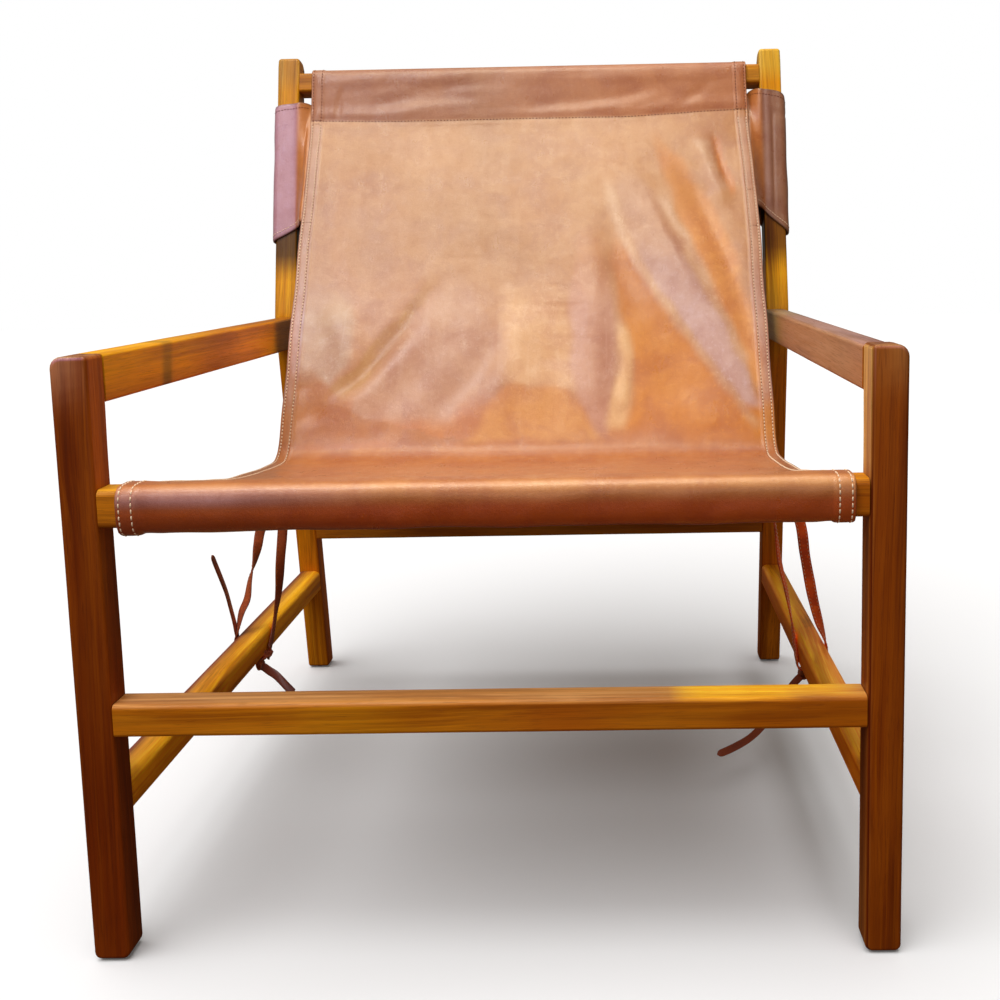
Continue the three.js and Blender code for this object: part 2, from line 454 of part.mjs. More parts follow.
// --------------------------------------------------------------- glides
// A round disc under each leg with a nail up into it.
{
  const profile = [v2(0, 0), v2(8, 0), v2(8.5, 0.6), v2(8.2, GLIDE_H - GAP), v2(1.5, GLIDE_H - GAP), v2(1.5, 12), v2(0, 12.8)];
  for (const [name, x, y] of [
    ['glide_front_left', -HALF_W + LEG / 2, LEG / 2], ['glide_front_right', HALF_W - LEG / 2, LEG / 2],
    ['glide_rear_left', -mid(HALF_W, POST_IN), POST_FOOT_Y + POST_D / 2], ['glide_rear_right', mid(HALF_W, POST_IN), POST_FOOT_Y + POST_D / 2],
  ]) {
    const g = new THREE.LatheGeometry(profile, 20).rotateX(Math.PI / 2);
    add(name, g, GLIDE_MAT).position.set(x, y, 0);
  }
}

// the origin is the middle of the box's footprint
chair.updateMatrixWorld(true);
const bounds = new THREE.Box3().setFromObject(chair, true);
model.position.set(-(bounds.min.x + bounds.max.x) / 2, -(bounds.min.y + bounds.max.y) / 2, -bounds.min.z);
chair.updateMatrixWorld(true);

export default chair;
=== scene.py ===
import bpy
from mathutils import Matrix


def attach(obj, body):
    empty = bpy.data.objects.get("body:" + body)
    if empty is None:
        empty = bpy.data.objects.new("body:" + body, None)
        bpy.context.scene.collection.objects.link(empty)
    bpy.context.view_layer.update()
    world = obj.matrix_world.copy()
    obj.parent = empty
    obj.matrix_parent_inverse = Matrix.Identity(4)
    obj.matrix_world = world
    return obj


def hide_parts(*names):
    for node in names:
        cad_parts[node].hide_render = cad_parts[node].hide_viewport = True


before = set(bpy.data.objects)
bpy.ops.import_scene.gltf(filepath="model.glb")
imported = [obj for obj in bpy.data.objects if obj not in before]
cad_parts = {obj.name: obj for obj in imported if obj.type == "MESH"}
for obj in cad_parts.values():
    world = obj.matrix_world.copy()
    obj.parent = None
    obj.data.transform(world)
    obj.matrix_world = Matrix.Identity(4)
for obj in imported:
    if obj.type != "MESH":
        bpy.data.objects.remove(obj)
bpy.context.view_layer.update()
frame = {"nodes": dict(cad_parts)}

# Leather sling lounge chair. Measures are in millimetres with the front face of
# the legs at y = 0, and W() turns them into metres in the chair's own frame.
import math

import bmesh
import bpy
import numpy as np
from mathutils import Matrix, Vector


scene = bpy.context.scene

# ------------------------------------------------------------------ camera
cam_data = bpy.data.cameras.new("camera")
cam = bpy.data.objects.new("camera", cam_data)
scene.collection.objects.link(cam)
cam_data.sensor_width = 36
cam_data.lens = 40.643
cam_data.shift_x = -0.09708
cam_data.shift_y = -0.10714
turn = Matrix.Rotation(0.0138357, 3, "Z") @ Matrix.Rotation(-0.1226957, 3, "X") @ Matrix.Rotation(0.0186825, 3, "Y")
c_right, c_forward, c_up = turn.col[0], turn.col[1], turn.col[2]
cam.matrix_world = Matrix((
    (c_right[0], c_up[0], -c_forward[0], 0.11084),
    (c_right[1], c_up[1], -c_forward[1], -1.29238),
    (c_right[2], c_up[2], -c_forward[2], 0.61243),
    (0, 0, 0, 1)))
scene.camera = cam

# -------------------------------------------------------------- dimensions
Y0 = 370.2815
HALF_W, LEG, GLIDE_H = 355.0, 31.5, 2.0
ARM_W = 32.5
# the left leg and armrest stand a little higher than the right ones: leg top; armrest top, depth and fall to the rear
LEG_TOP = {-1: 536.0, 1: 534.2}
ARM = {-1: (536.0, 42.2, 0.0045), 1: (532.4, 39.4, 0.0)}
POST_W, POST_D = 30.3, 31.0
POST_FOOT_Y, POST_KINK_Y, POST_TOP_Y = 713.3, 634.5, 718.1
POST_KINK_Z, POST_TOP_Z = 532.6, 895.6
LEG_IN, POST_IN = HALF_W - LEG, HALF_W - POST_W
SLING_HALF = 305.5
GAP = 0.3


def post_front(z):
    z = np.asarray(z, float)
    low = POST_FOOT_Y + (POST_KINK_Y - POST_FOOT_Y) * (z - GLIDE_H) / (POST_KINK_Z - GLIDE_H)
    high = POST_KINK_Y + (POST_TOP_Y - POST_KINK_Y) * (z - POST_KINK_Z) / (POST_TOP_Z - POST_KINK_Z)
    return np.where(z < POST_KINK_Z, low, high)


LEAN = math.atan2(POST_TOP_Y - POST_KINK_Y, POST_TOP_Z - POST_KINK_Z)
TOP_RAIL_Z = 857.5
TOP_RAIL_Y = float(post_front(TOP_RAIL_Z)) + POST_D / 2


def tilted(a, b):
    c, s = math.cos(LEAN), math.sin(LEAN)
    return [TOP_RAIL_Y + a * c + b * s, TOP_RAIL_Z - a * s + b * c]


def W(v):
    v = np.asarray(v, float).reshape(-1, 3)
    return np.column_stack((v[:, 0], v[:, 1] - Y0, v[:, 2])) / 1000


def lin(r, g, b):
    """sRGB 0-255 to linear."""
    return tuple(((c / 255 + 0.055) / 1.055) ** 2.4 if c > 10 else c / 255 / 12.92 for c in (r, g, b))


def ease(t):
    t = np.clip(t, 0, 1)
    return t * t * (3 - 2 * t)


# ------------------------------------------------------------- node helper
class Nodes:
    def __init__(self, name):
        self.mat = bpy.data.materials.new(name)
        self.mat.use_nodes = True
        self.t = self.mat.node_tree
        self.t.nodes.clear()
        self.out = self.new("ShaderNodeOutputMaterial")
        self.bsdf = self.new("ShaderNodeBsdfPrincipled")
        self.link(self.bsdf.outputs[0], self.out.inputs[0])

    def new(self, kind, **props):
        n = self.t.nodes.new(kind)
        for k, v in props.items():
            setattr(n, k, v)
        return n

    def link(self, a, b):
        self.t.links.new(a, b)

    def put(self, value, socket):
        if isinstance(value, bpy.types.NodeSocket):
            self.link(value, socket)
        elif isinstance(value, (tuple, list)) and len(value) == 3 and socket.type == "RGBA":
            socket.default_value = (*value, 1)
        else:
            socket.default_value = value

    def attr(self, name):
        return self.new("ShaderNodeAttribute", attribute_name=name)

    def scaled(self, vec, s, add=(0, 0, 0)):
        m = self.new("ShaderNodeVectorMath", operation="MULTIPLY_ADD")
        self.link(vec, m.inputs[0])
        m.inputs[1].default_value = s
        m.inputs[2].default_value = add
        return m.outputs[0]

    def noise(self, vec, scale, detail=3, rough=0.5, distort=0.0):
        n = self.new("ShaderNodeTexNoise")
        self.link(vec, n.inputs["Vector"])
        n.inputs["Scale"].default_value = scale
        n.inputs["Detail"].default_value = detail
        n.inputs["Roughness"].default_value = rough
        n.inputs["Distortion"].default_value = distort
        return n.outputs["Fac"]

    def voronoi(self, vec, scale, feature="F1"):
        n = self.new("ShaderNodeTexVoronoi", feature=feature)
        self.link(vec, n.inputs["Vector"])
        n.inputs["Scale"].default_value = scale
        return n.outputs["Distance"]

    def span(self, fac, a, b, lo=0.0, hi=1.0):
        """fac from a..b to lo..hi, clamped and eased."""
        m = self.new("ShaderNodeMapRange", interpolation_type="SMOOTHSTEP")
        self.link(fac, m.inputs["Value"])
        for k, v in (("From Min", a), ("From Max", b), ("To Min", lo), ("To Max", hi)):
            m.inputs[k].default_value = v
        return m.outputs[0]

    def mix(self, fac, a, b, mode="MIX"):
        m = self.new("ShaderNodeMix", data_type="RGBA", blend_type=mode)
        m.clamp_factor = True
        self.put(fac, m.inputs[0])
        self.put(a, m.inputs[6])
        self.put(b, m.inputs[7])
        return m.outputs[2]

    def math(self, op, a, b=0.0, clamp=False):
        m = self.new("ShaderNodeMath", operation=op, use_clamp=clamp)
        self.put(a, m.inputs[0])
        self.put(b, m.inputs[1])
        return m.outputs[0]

    def bump(self, height, strength, distance, normal=None):
        b = self.new("ShaderNodeBump")
        b.inputs["Strength"].default_value = strength
        b.inputs["Distance"].default_value = distance
        self.link(height, b.inputs["Height"])
        if normal is not None:
            self.link(normal, b.inputs["Normal"])
        return b.outputs[0]


# --------------------------------------------------------------- materials
def wood_material(name, dark, mid, light, contrast=1.0):
    """Open-grained hardwood. 'grain' is the place in the board, its first number along the length."""
    n = Nodes(name)
    g = n.attr("grain").outputs["Vector"]
    tint = n.attr("tint").outputs["Color"]
    # slow figure: how early and late wood swing through the board
    sway = n.noise(n.scaled(g, (2.2, 9, 9)), 1.0, 2, 0.5)
    swayed = n.new("ShaderNodeVectorMath", operation="ADD")
    n.link(n.scaled(g, (1.0, 1.0, 1.0)), swayed.inputs[0])
    shift = n.new("ShaderNodeCombineXYZ")
    s1 = n.math("MULTIPLY", sway, 0.030)
    n.link(s1, shift.inputs[1])
    n.link(n.math("MULTIPLY", sway, -0.022), shift.inputs[2])
    n.link(shift.outputs[0], swayed.inputs[1])
    v = swayed.outputs[0]
    bands = n.noise(n.scaled(v, (0.9, 62, 62)), 1.0, 3, 0.55)
    streaks = n.noise(n.scaled(v, (2.6, 210, 210)), 1.0, 4, 0.6)
    fibres = n.noise(n.scaled(g, (22, 1100, 1100)), 1.0, 2, 0.6)
    pores = n.noise(n.scaled(g, (48, 1500, 1500)), 1.0, 1, 0.5)
    cloud = n.noise(n.scaled(g, (4.2, 26, 26)), 1.0, 3, 0.55)
    lines = n.noise(n.scaled(v, (1.1, 520, 520)), 1.0, 3, 0.65)
    c = n.mix(n.span(bands, 0.34, 0.64), dark, mid)
    c = n.mix(n.math("MULTIPLY", n.span(streaks, 0.47, 0.72), 0.55), c, light)
    c = n.mix(n.math("MULTIPLY", n.span(cloud, 0.40, 0.70), 0.55), c, light)
    c = n.mix(n.math("MULTIPLY", n.span(cloud, 0.46, 0.28), 0.34), c, dark)
    deep = n.mix(0.42, dark, (0.0, 0.0, 0.0))
    c = n.mix(n.math("MULTIPLY", n.span(bands, 0.42, 0.30), 0.34 * contrast), c, deep)
    c = n.mix(n.math("MULTIPLY", n.span(streaks, 0.40, 0.30), 0.36 * contrast), c, deep)
    c = n.mix(n.math("MULTIPLY", n.span(lines, 0.46, 0.34), 0.36 * contrast), c, deep)
    c = n.mix(n.math("MULTIPLY", n.span(lines, 0.58, 0.72), 0.30), c, light)
    c = n.mix(n.math("MULTIPLY", n.span(fibres, 0.50, 0.30), 0.26), c, deep)
    pore = n.span(pores, 0.36, 0.27)
    c = n.mix(n.math("MULTIPLY", pore, 0.38), c, deep)
    # the tint attribute brings in each face's painted light and shade, along with the figure
    c = n.mix(1.0, c, tint, "MULTIPLY")
    n.link(c, n.bsdf.inputs["Base Color"])
    rough = n.math("ADD", n.span(cloud, 0.3, 0.7, 0.34, 0.46), n.math("MULTIPLY", n.span(fibres, 0.5, 0.3), 0.12))
    n.link(rough, n.bsdf.inputs["Roughness"])
    n.bsdf.inputs["IOR"].default_value = 1.34
    n.bsdf.inputs["Coat Weight"].default_value = 0.03
    n.bsdf.inputs["Specular IOR Level"].default_value = 0.4
    n.bsdf.inputs["Coat Roughness"].default_value = 0.22
    h = n.math("SUBTRACT", n.math("MULTIPLY", fibres, 0.5), n.math("MULTIPLY", pore, 0.6))
    h = n.math("ADD", h, n.math("MULTIPLY", streaks, 0.35))
    n.link(n.bump(h, 0.35, 0.0004), n.bsdf.inputs["Normal"])
    return n.mat


def leather_material(name, base, deep, pale, pebble=1.0, rough=(0.24, 0.33)):
    """Satin leather: mottled dye, fine pebbled grain, few small scars; 'tint' darkens seams and carries painted
    reflections, painted highlights and painted shade.
    """
    n = Nodes(name)
    o = n.new("ShaderNodeTexCoord").outputs["Object"]
    tint = n.attr("tint").outputs["Color"]
    wide = n.noise(o, 5.5, 3, 0.5)
    cloud = n.noise(o, 22, 4, 0.6, 0.3)
    fine = n.noise(o, 160, 3, 0.6)
    cell = n.voronoi(o, 900, "DISTANCE_TO_EDGE")
    cell_big = n.voronoi(n.scaled(o, (1, 1, 1), (0.31, 0.17, 0.05)), 420, "F1")
    draw = n.noise(n.scaled(o, (70, 10, 10)), 1.0, 4, 0.62, 0.6)
    mottle = n.noise(o, 62, 4, 0.66, 0.4)
    fleck = n.noise(n.scaled(o, (620, 260, 260)), 1.0, 2, 0.6)
    c = n.mix(n.span(cloud, 0.34, 0.62), deep, base)
    c = n.mix(n.math("MULTIPLY", n.span(wide, 0.40, 0.68), 0.45), c, pale)
    c = n.mix(n.math("MULTIPLY", n.span(mottle, 0.50, 0.74), 0.34), c, pale)
    c = n.mix(n.math("MULTIPLY", n.span(mottle, 0.46, 0.28), 0.24), c, deep)
    c = n.mix(n.math("MULTIPLY", n.span(draw, 0.54, 0.74), 0.28), c, pale)
    c = n.mix(n.math("MULTIPLY", n.span(draw, 0.44, 0.26), 0.20), c, deep)
    c = n.mix(n.math("MULTIPLY", n.span(fine, 0.54, 0.76), 0.45), c, pale)
    c = n.mix(n.math("MULTIPLY", n.span(fine, 0.42, 0.28), 0.35), c, deep)
    c = n.mix(n.math("MULTIPLY", n.span(fleck, 0.62, 0.74), 0.40), c, pale)
    c = n.mix(n.math("MULTIPLY", n.span(cell, 0.10, 0.0), 0.25), c, deep)
    spots = n.voronoi(o, 13, "F1")
    c = n.mix(n.math("MULTIPLY", n.span(spots, 0.018, 0.007), 0.30), c, lin(120, 60, 35))
    # the tint attribute brings in dark seams and the painted reflections, highlights and shade
    c = n.mix(1.0, c, tint, "MULTIPLY")
    n.link(c, n.bsdf.inputs["Base Color"])
    r = n.math("ADD", n.span(cloud, 0.35, 0.65, rough[0], rough[1]), n.math("MULTIPLY", n.span(mottle, 0.62, 0.36), 0.10))
    r = n.math("ADD", r, n.math("MULTIPLY", n.span(draw, 0.65, 0.35), 0.07))
    n.link(r, n.bsdf.inputs["Roughness"])
    n.bsdf.inputs["IOR"].default_value = 1.55
    n.bsdf.inputs["Coat Weight"].default_value = 0.32
    n.bsdf.inputs["Coat Roughness"].default_value = 0.24
    n.bsdf.inputs["Sheen Weight"].default_value = 0.12
    n.bsdf.inputs["Sheen Roughness"].default_value = 0.45
    h = n.math("MULTIPLY", n.span(cell, 0.0, 0.25), 0.5)
    h = n.math("ADD", h, n.math("MULTIPLY", cell_big, 0.4))
    h = n.math("ADD", h, n.math("MULTIPLY", fine, 0.6))
    first = n.bump(h, 0.34 * pebble, 0.0005)
    second = n.bump(n.math("ADD", mottle, n.math("MULTIPLY", draw, 0.8)), 0.12, 0.0022, first)
    n.link(n.bump(cloud, 0.12, 0.006, second), n.bsdf.inputs["Normal"])
    return n.mat


def plain_material(name, color, other, scale, rough):
    n = Nodes(name)
    o = n.new("ShaderNodeTexCoord").outputs["Object"]
    f = n.noise(o, scale, 3, 0.6)
    n.link(n.mix(n.span(f, 0.35, 0.65), color, other), n.bsdf.inputs["Base Color"])
    n.link(n.span(f, 0.3, 0.7, rough, rough + 0.12), n.bsdf.inputs["Roughness"])
    n.link(n.bump(f, 0.3, 0.0004), n.bsdf.inputs["Normal"])
    return n.mat


WOOD = {
    "wood_dark": wood_material("wood_dark", lin(112, 42, 8), lin(142, 62, 12), lin(170, 88, 22)),
    "wood_mid": wood_material("wood_mid", lin(150, 78, 9), lin(186, 105, 14), lin(212, 134, 28), 0.5),
    "wood_gold": wood_material("wood_gold", lin(156, 88, 10), lin(208, 132, 20), lin(234, 168, 46)),
}
LEATHER = leather_material("leather", lin(197, 117, 55), lin(181, 99, 45), lin(210, 136, 73))
STRAP = leather_material("leather_strap", lin(186, 80, 30), lin(138, 52, 18), lin(220, 122, 58), 0.8, (0.42, 0.55))
THREAD = plain_material("thread", lin(255, 234, 208), lin(246, 214, 184), 900, 0.6)
# the second thread is the first one in painted shade
THREAD_SHADED = plain_material("thread_shaded", lin(138, 68, 36), lin(104, 48, 24), 900, 0.6)
GLIDE = plain_material("glide", lin(46, 38, 32), lin(30, 25, 21), 300, 0.55)


# ------------------------------------------------------------ mesh helpers
def make(name, verts, faces, mat, nodes=(), points=None, recalc=True, smooth=True, material_index=None):
    me = bpy.data.meshes.new(name)
    me.from_pydata(W(verts).tolist(), [], [tuple(int(i) for i in f) for f in faces])
    if recalc:
        bm = bmesh.new()
        bm.from_mesh(me)
        bmesh.ops.recalc_face_normals(bm, faces=bm.faces)
        bm.to_mesh(me)
        bm.free()
    me.polygons.foreach_set("use_smooth", [smooth] * len(me.polygons))
    for m in mat if isinstance(mat, (list, tuple)) else [mat]:
        me.materials.append(m)
    if material_index is not None:
        me.polygons.foreach_set("material_index", material_index)
    for key, data in (points or {}).items():
        data = np.asarray(data, np.float32)
        if data.shape[1] == 3:
            a = me.attributes.new(key, "FLOAT_VECTOR", "POINT")
            a.data.foreach_set("vector", data.ravel())
        else:
            a = me.attributes.new(key, "FLOAT_COLOR", "POINT")
            a.data.foreach_set("color", data.ravel())
    me.update()
    ob = bpy.data.objects.new(name, me)
    scene.collection.objects.link(ob)
    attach(ob, "root")
    if nodes:
        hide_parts(*nodes)
    return ob


def spline(pts, step, dims=None):
    """Centripetal Catmull-Rom through pts, evenly spaced along its length. Returns points and distances."""
    p = np.asarray(pts, float)
    dims = dims or p.shape[1]
    p = np.vstack((2 * p[0] - p[1], p, 2 * p[-1] - p[-2]))
    dist = lambda a, b: max(1e-6, float(np.linalg.norm((b - a)[:dims])))
    out = []
    for i in range(1, len(p) - 2):
        p0, p1, p2, p3 = p[i - 1], p[i], p[i + 1], p[i + 2]
        t0 = 0.0
        t1 = t0 + dist(p0, p1) ** 0.5
        t2 = t1 + dist(p1, p2) ** 0.5
        t3 = t2 + dist(p2, p3) ** 0.5
        t = np.linspace(t1, t2, int(dist(p1, p2) / step * 4) + 4, endpoint=False)[:, None]
        a1 = (t1 - t) / (t1 - t0) * p0 + (t - t0) / (t1 - t0) * p1
        a2 = (t2 - t) / (t2 - t1) * p1 + (t - t1) / (t2 - t1) * p2
        a3 = (t3 - t) / (t3 - t2) * p2 + (t - t2) / (t3 - t2) * p3
        b1 = (t2 - t) / (t2 - t0) * a1 + (t - t0) / (t2 - t0) * a2
        b2 = (t3 - t) / (t3 - t1) * a2 + (t - t1) / (t3 - t1) * a3
        out.append((t2 - t) / (t2 - t1) * b1 + (t - t1) / (t2 - t1) * b2)
    out.append(p[-2][None])
    q = np.vstack(out)
    d = np.r_[0, np.cumsum(np.linalg.norm(np.diff(q[:, :dims], axis=0), axis=1))]
    s = np.linspace(0, d[-1], max(2, int(round(d[-1] / step)) + 1))
    return np.column_stack([np.interp(s, d, q[:, k]) for k in range(q.shape[1])]), s


def spline_knots(pts):
    p = np.asarray(pts, float)
    return np.r_[0, np.cumsum(np.sqrt(np.maximum(np.linalg.norm(np.diff(p, axis=0), axis=1), 1e-6)))]


def spline_at(pts, knots, u):
    """Catmull-Rom through pts at the given knots, read at u."""
    p = np.asarray(pts, float)
    p = np.vstack((2 * p[0] - p[1], p, 2 * p[-1] - p[-2]))
    t = np.r_[2 * knots[0] - knots[1], knots, 2 * knots[-1] - knots[-2]]
    i = np.clip(np.searchsorted(knots, u, side="right") - 1, 0, len(knots) - 2) + 1
    t0, t1, t2, t3 = (t[i + k][:, None] for k in (-1, 0, 1, 2))
    p0, p1, p2, p3 = (p[i + k] for k in (-1, 0, 1, 2))
    x = np.asarray(u, float)[:, None]
    a1 = (t1 - x) / (t1 - t0) * p0 + (x - t0) / (t1 - t0) * p1
    a2 = (t2 - x) / (t2 - t1) * p1 + (x - t1) / (t2 - t1) * p2
    a3 = (t3 - x) / (t3 - t2) * p2 + (x - t2) / (t3 - t2) * p3
    b1 = (t2 - x) / (t2 - t0) * a1 + (x - t0) / (t2 - t0) * a2
    b2 = (t3 - x) / (t3 - t1) * a2 + (x - t1) / (t3 - t1) * a3
    return (t2 - x) / (t2 - t1) * b1 + (x - t1) / (t2 - t1) * b2


def grid_normals(P):
    """Unit normals of a grid of points, across x then along the strip."""
    ds = np.gradient(P, axis=0)
    dx = np.gradient(P, axis=1)
    N = np.cross(dx, ds)
    return N / np.maximum(np.linalg.norm(N, axis=2, keepdims=True), 1e-9)


def closed_sheet(top, bottom):
    """Vertices and faces of a closed sheet from the grids of its two sides."""
    a, b = top.shape[:2]
    verts = np.vstack((top.reshape(-1, 3), bottom.reshape(-1, 3)))
    i, j = np.meshgrid(np.arange(a - 1), np.arange(b - 1), indexing="ij")
    v = (i * b + j).ravel()
    up = np.column_stack((v, v + 1, v + b + 1, v + b))
    down = np.column_stack((v + a * b, v + b + a * b, v + b + 1 + a * b, v + 1 + a * b))
    ring = [k for k in range(b)] + [k * b + b - 1 for k in range(1, a)] + \
           [(a - 1) * b + k for k in range(b - 2, -1, -1)] + [k * b for k in range(a - 2, 0, -1)]
    ring = np.array(ring)
    nxt = np.roll(ring, -1)
    rim = np.column_stack((ring, ring + a * b, nxt + a * b, nxt))
    return verts, np.vstack((up, down, rim))


def rounded(corners, steps=5):
    """A polygon with rounded corners, each [a, b, radius]."""
    out, n = [], len(corners)
    for i in range(n):
        p = np.array(corners[i][:2], float)
        a = np.array(corners[(i - 1) % n][:2], float)
        b = np.array(corners[(i + 1) % n][:2], float)
        r = corners[i][2] if len(corners[i]) > 2 else 0
        u, w = (a - p) / np.linalg.norm(a - p), (b - p) / np.linalg.norm(b - p)
        ang = math.acos(max(-1, min(1, float(u @ w))))
        if r <= 0 or math.pi - ang < 0.01:
            out.append(p)
            continue
        cut = r / math.tan(ang / 2)
        mid = p + (u + w) / np.linalg.norm(u + w) * r / math.sin(ang / 2)
        s, e = p + u * cut - mid, p + w * cut - mid
        t = math.atan2(s[0] * e[1] - s[1] * e[0], float(s @ e))
        k = steps if abs(t) > 0.6 else 3
        for q in range(k + 1):
            c, d = math.cos(t * q / k), math.sin(t * q / k)
            out.append(mid + np.array([s[0] * c - s[1] * d, s[0] * d + s[1] * c]))
    return out


DIRS = {"+x": (1, 0, 0), "-x": (-1, 0, 0), "+y": (0, 1, 0), "-y": (0, -1, 0), "+z": (0, 0, 1), "-z": (0, 0, -1)}


def member(name, plane, outline, near, far, slot, nodes, rim=0.5, rims=None, length=2, painted_face_light=None, shade=None, seed=0, ends=None, fall=0.0, cut=45.0):
    """A wooden member: an outline in one plane ('x', 'y' or 'z' is the axis it runs along) between near and far,
    whose rim edges are rounded by rim, or by rims(point) in millimetres. ends(outline point, far?) may slant the ends."""
    axis = "xyz".index(plane)
    across = [k for k in range(3) if k != axis]
    n = len(outline)
    pts = []
    for side, at in ((0, near), (1, far)):
        for q in outline:
            p = [0.0, 0.0, 0.0]
            p[across[0]], p[across[1]] = float(q[0]), float(q[1])
            p[axis] = float(at) if ends is None else ends(p, side, at)
            pts.append(p)
    bm = bmesh.new()
    vs = [bm.verts.new(p) for p in pts]
    bm.faces.new(vs[:n])
    bm.faces.new(list(reversed(vs[n:])))
    for k in range(n):
        bm.faces.new((vs[k], vs[n + k], vs[n + (k + 1) % n], vs[(k + 1) % n]))
    bmesh.ops.recalc_face_normals(bm, faces=bm.faces)
    top_w = 14.0
    layer = bm.edges.layers.float.new("bevel_weight_edge")
    bm.verts.index_update()
    for e in bm.edges:
        a, b = e.verts[0].index, e.verts[1].index
        if (a < n) == (b < n):
            mid = (e.verts[0].co + e.verts[1].co) / 2
            w = rims(mid, int(a >= n)) if rims else rim
            e[layer] = w / top_w
    me = bpy.data.meshes.new(name)
    bm.to_mesh(me)
    bm.free()
    tmp = bpy.data.objects.new(name + "_tmp", me)
    scene.collection.objects.link(tmp)
    mod = tmp.modifiers.new("b", "BEVEL")
    mod.width, mod.limit_method, mod.segments, mod.offset_type = top_w, "WEIGHT", 4, "OFFSET"
    mod.use_clamp_overlap = False
    mod.loop_slide = True
    dg = bpy.context.evaluated_depsgraph_get()
    done = bpy.data.meshes.new_from_object(tmp.evaluated_get(dg))
    bpy.data.objects.remove(tmp)
    bpy.data.meshes.remove(me)
    # cut long members into short pieces, so that the surface can be a little uneven
    bm = bmesh.new()
    bm.from_mesh(done)
    bmesh.ops.remove_doubles(bm, verts=bm.verts, dist=0.01)
    span = sorted((near, far)) if plane != "x" else sorted((near, far))
    co_all = np.array([v.co[:] for v in bm.verts])
    lo, hi = co_all[:, length].min(), co_all[:, length].max()
    cuts = int((hi - lo) / cut)
    for k in range(1, cuts):
        co = Vector((0, 0, 0))
        co[length] = lo + (hi - lo) * k / cuts
        no = Vector((0, 0, 0))
        no[length] = 1
        bmesh.ops.bisect_plane(bm, geom=list(bm.verts) + list(bm.edges) + list(bm.faces), plane_co=co, plane_no=no, dist=0.05)
    bm.to_mesh(done)
    bm.free()
    co = np.array([v.co[:] for v in done.vertices])
    other = [k for k in range(3) if k != length]
    base = co.copy()
    if name.startswith("rear_post"):
        base[:, 1] -= post_front(base[:, 2])
    rng = np.random.RandomState(seed + 11)
    off = rng.uniform(0, 3, 3)
    grain = np.column_stack((base[:, length], base[:, other[0]], base[:, other[1]])) / 1000
    # the board's own slight slope of grain, and its place in the log
    slope = rng.uniform(-0.02, 0.02, 2)
    grain[:, 1] += grain[:, 0] * slope[0]
    grain[:, 2] += grain[:, 0] * slope[1]
    grain += off
    # hand-sanded faces: up to 0.12 mm of unevenness
    mids = (base.max(0) + base.min(0)) / 2
    for k in other:
        w = 0.12 * np.sin(base[:, length] / 61 + off[0] * 5 + k) * np.sign(base[:, k] - mids[k])
        co[:, k] -= np.abs(w) * np.sign(base[:, k] - mids[k])
    co[:, 2] -= fall * (co[:, 1] - LEG)
    done.vertices.foreach_set("co", W(co).astype(np.float32).ravel())
    done.update()
    a = done.attributes.new("grain", "FLOAT_VECTOR", "POINT")
    a.data.foreach_set("vector", grain.astype(np.float32).ravel())
    # painted light and shade: each face gets the tint given for the way it faces, and shade(point, normal) paints
    # further light, shade and figure on top
    colors = np.ones((len(done.loops), 4), np.float32)
    painted_face_light = painted_face_light or {}
    keys = list(DIRS)
    vals = np.array([painted_face_light.get(k, painted_face_light.get("all", (1, 1, 1))) for k in keys], float)
    dirs = np.array([DIRS[k] for k in keys], float)
    for poly in done.polygons:
        w = np.maximum(0, dirs @ np.array(poly.normal)) ** 2
        col = (w[:, None] * vals).sum(0) / w.sum()
        for li in poly.loop_indices:
            q = co[done.loops[li].vertex_index]
            m = shade(q, np.array(poly.normal)) if shade else (1, 1, 1)
            colors[li, :3] = np.clip(col * np.array(m), 0, 60)
    t = done.attributes.new("tint", "FLOAT_COLOR", "CORNER")
    t.data.foreach_set("color", colors.ravel())
    done.polygons.foreach_set("use_smooth", [True] * len(done.polygons))
    done.materials.append(WOOD[slot])
    ob = bpy.data.objects.new(name, done)
    scene.collection.objects.link(ob)
    wn = ob.modifiers.new("weighted", "WEIGHTED_NORMAL")
    wn.weight = 60
    wn.keep_sharp = False
    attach(ob, "root")
    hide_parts(*nodes)
    return ob


# -------------------------------------------------------------- wood frame
def both(label, fn):
    for side, s in (("left", -1), ("right", 1)):
        fn(f"{label}_{side}", s)


def with_points(outline, heights):
    """The outline with points added where its upright sides cross these heights."""
    out = []
    for i, p in enumerate(outline):
        q = outline[(i + 1) % len(outline)]
        out.append(p)
        if abs(q[1] - p[1]) > 100:
            hs = sorted((h for h in heights if min(p[1], q[1]) < h < max(p[1], q[1])), reverse=q[1] < p[1])
            out += [p + (q - p) * (h - p[1]) / (q[1] - p[1]) for h in hs]
    return out


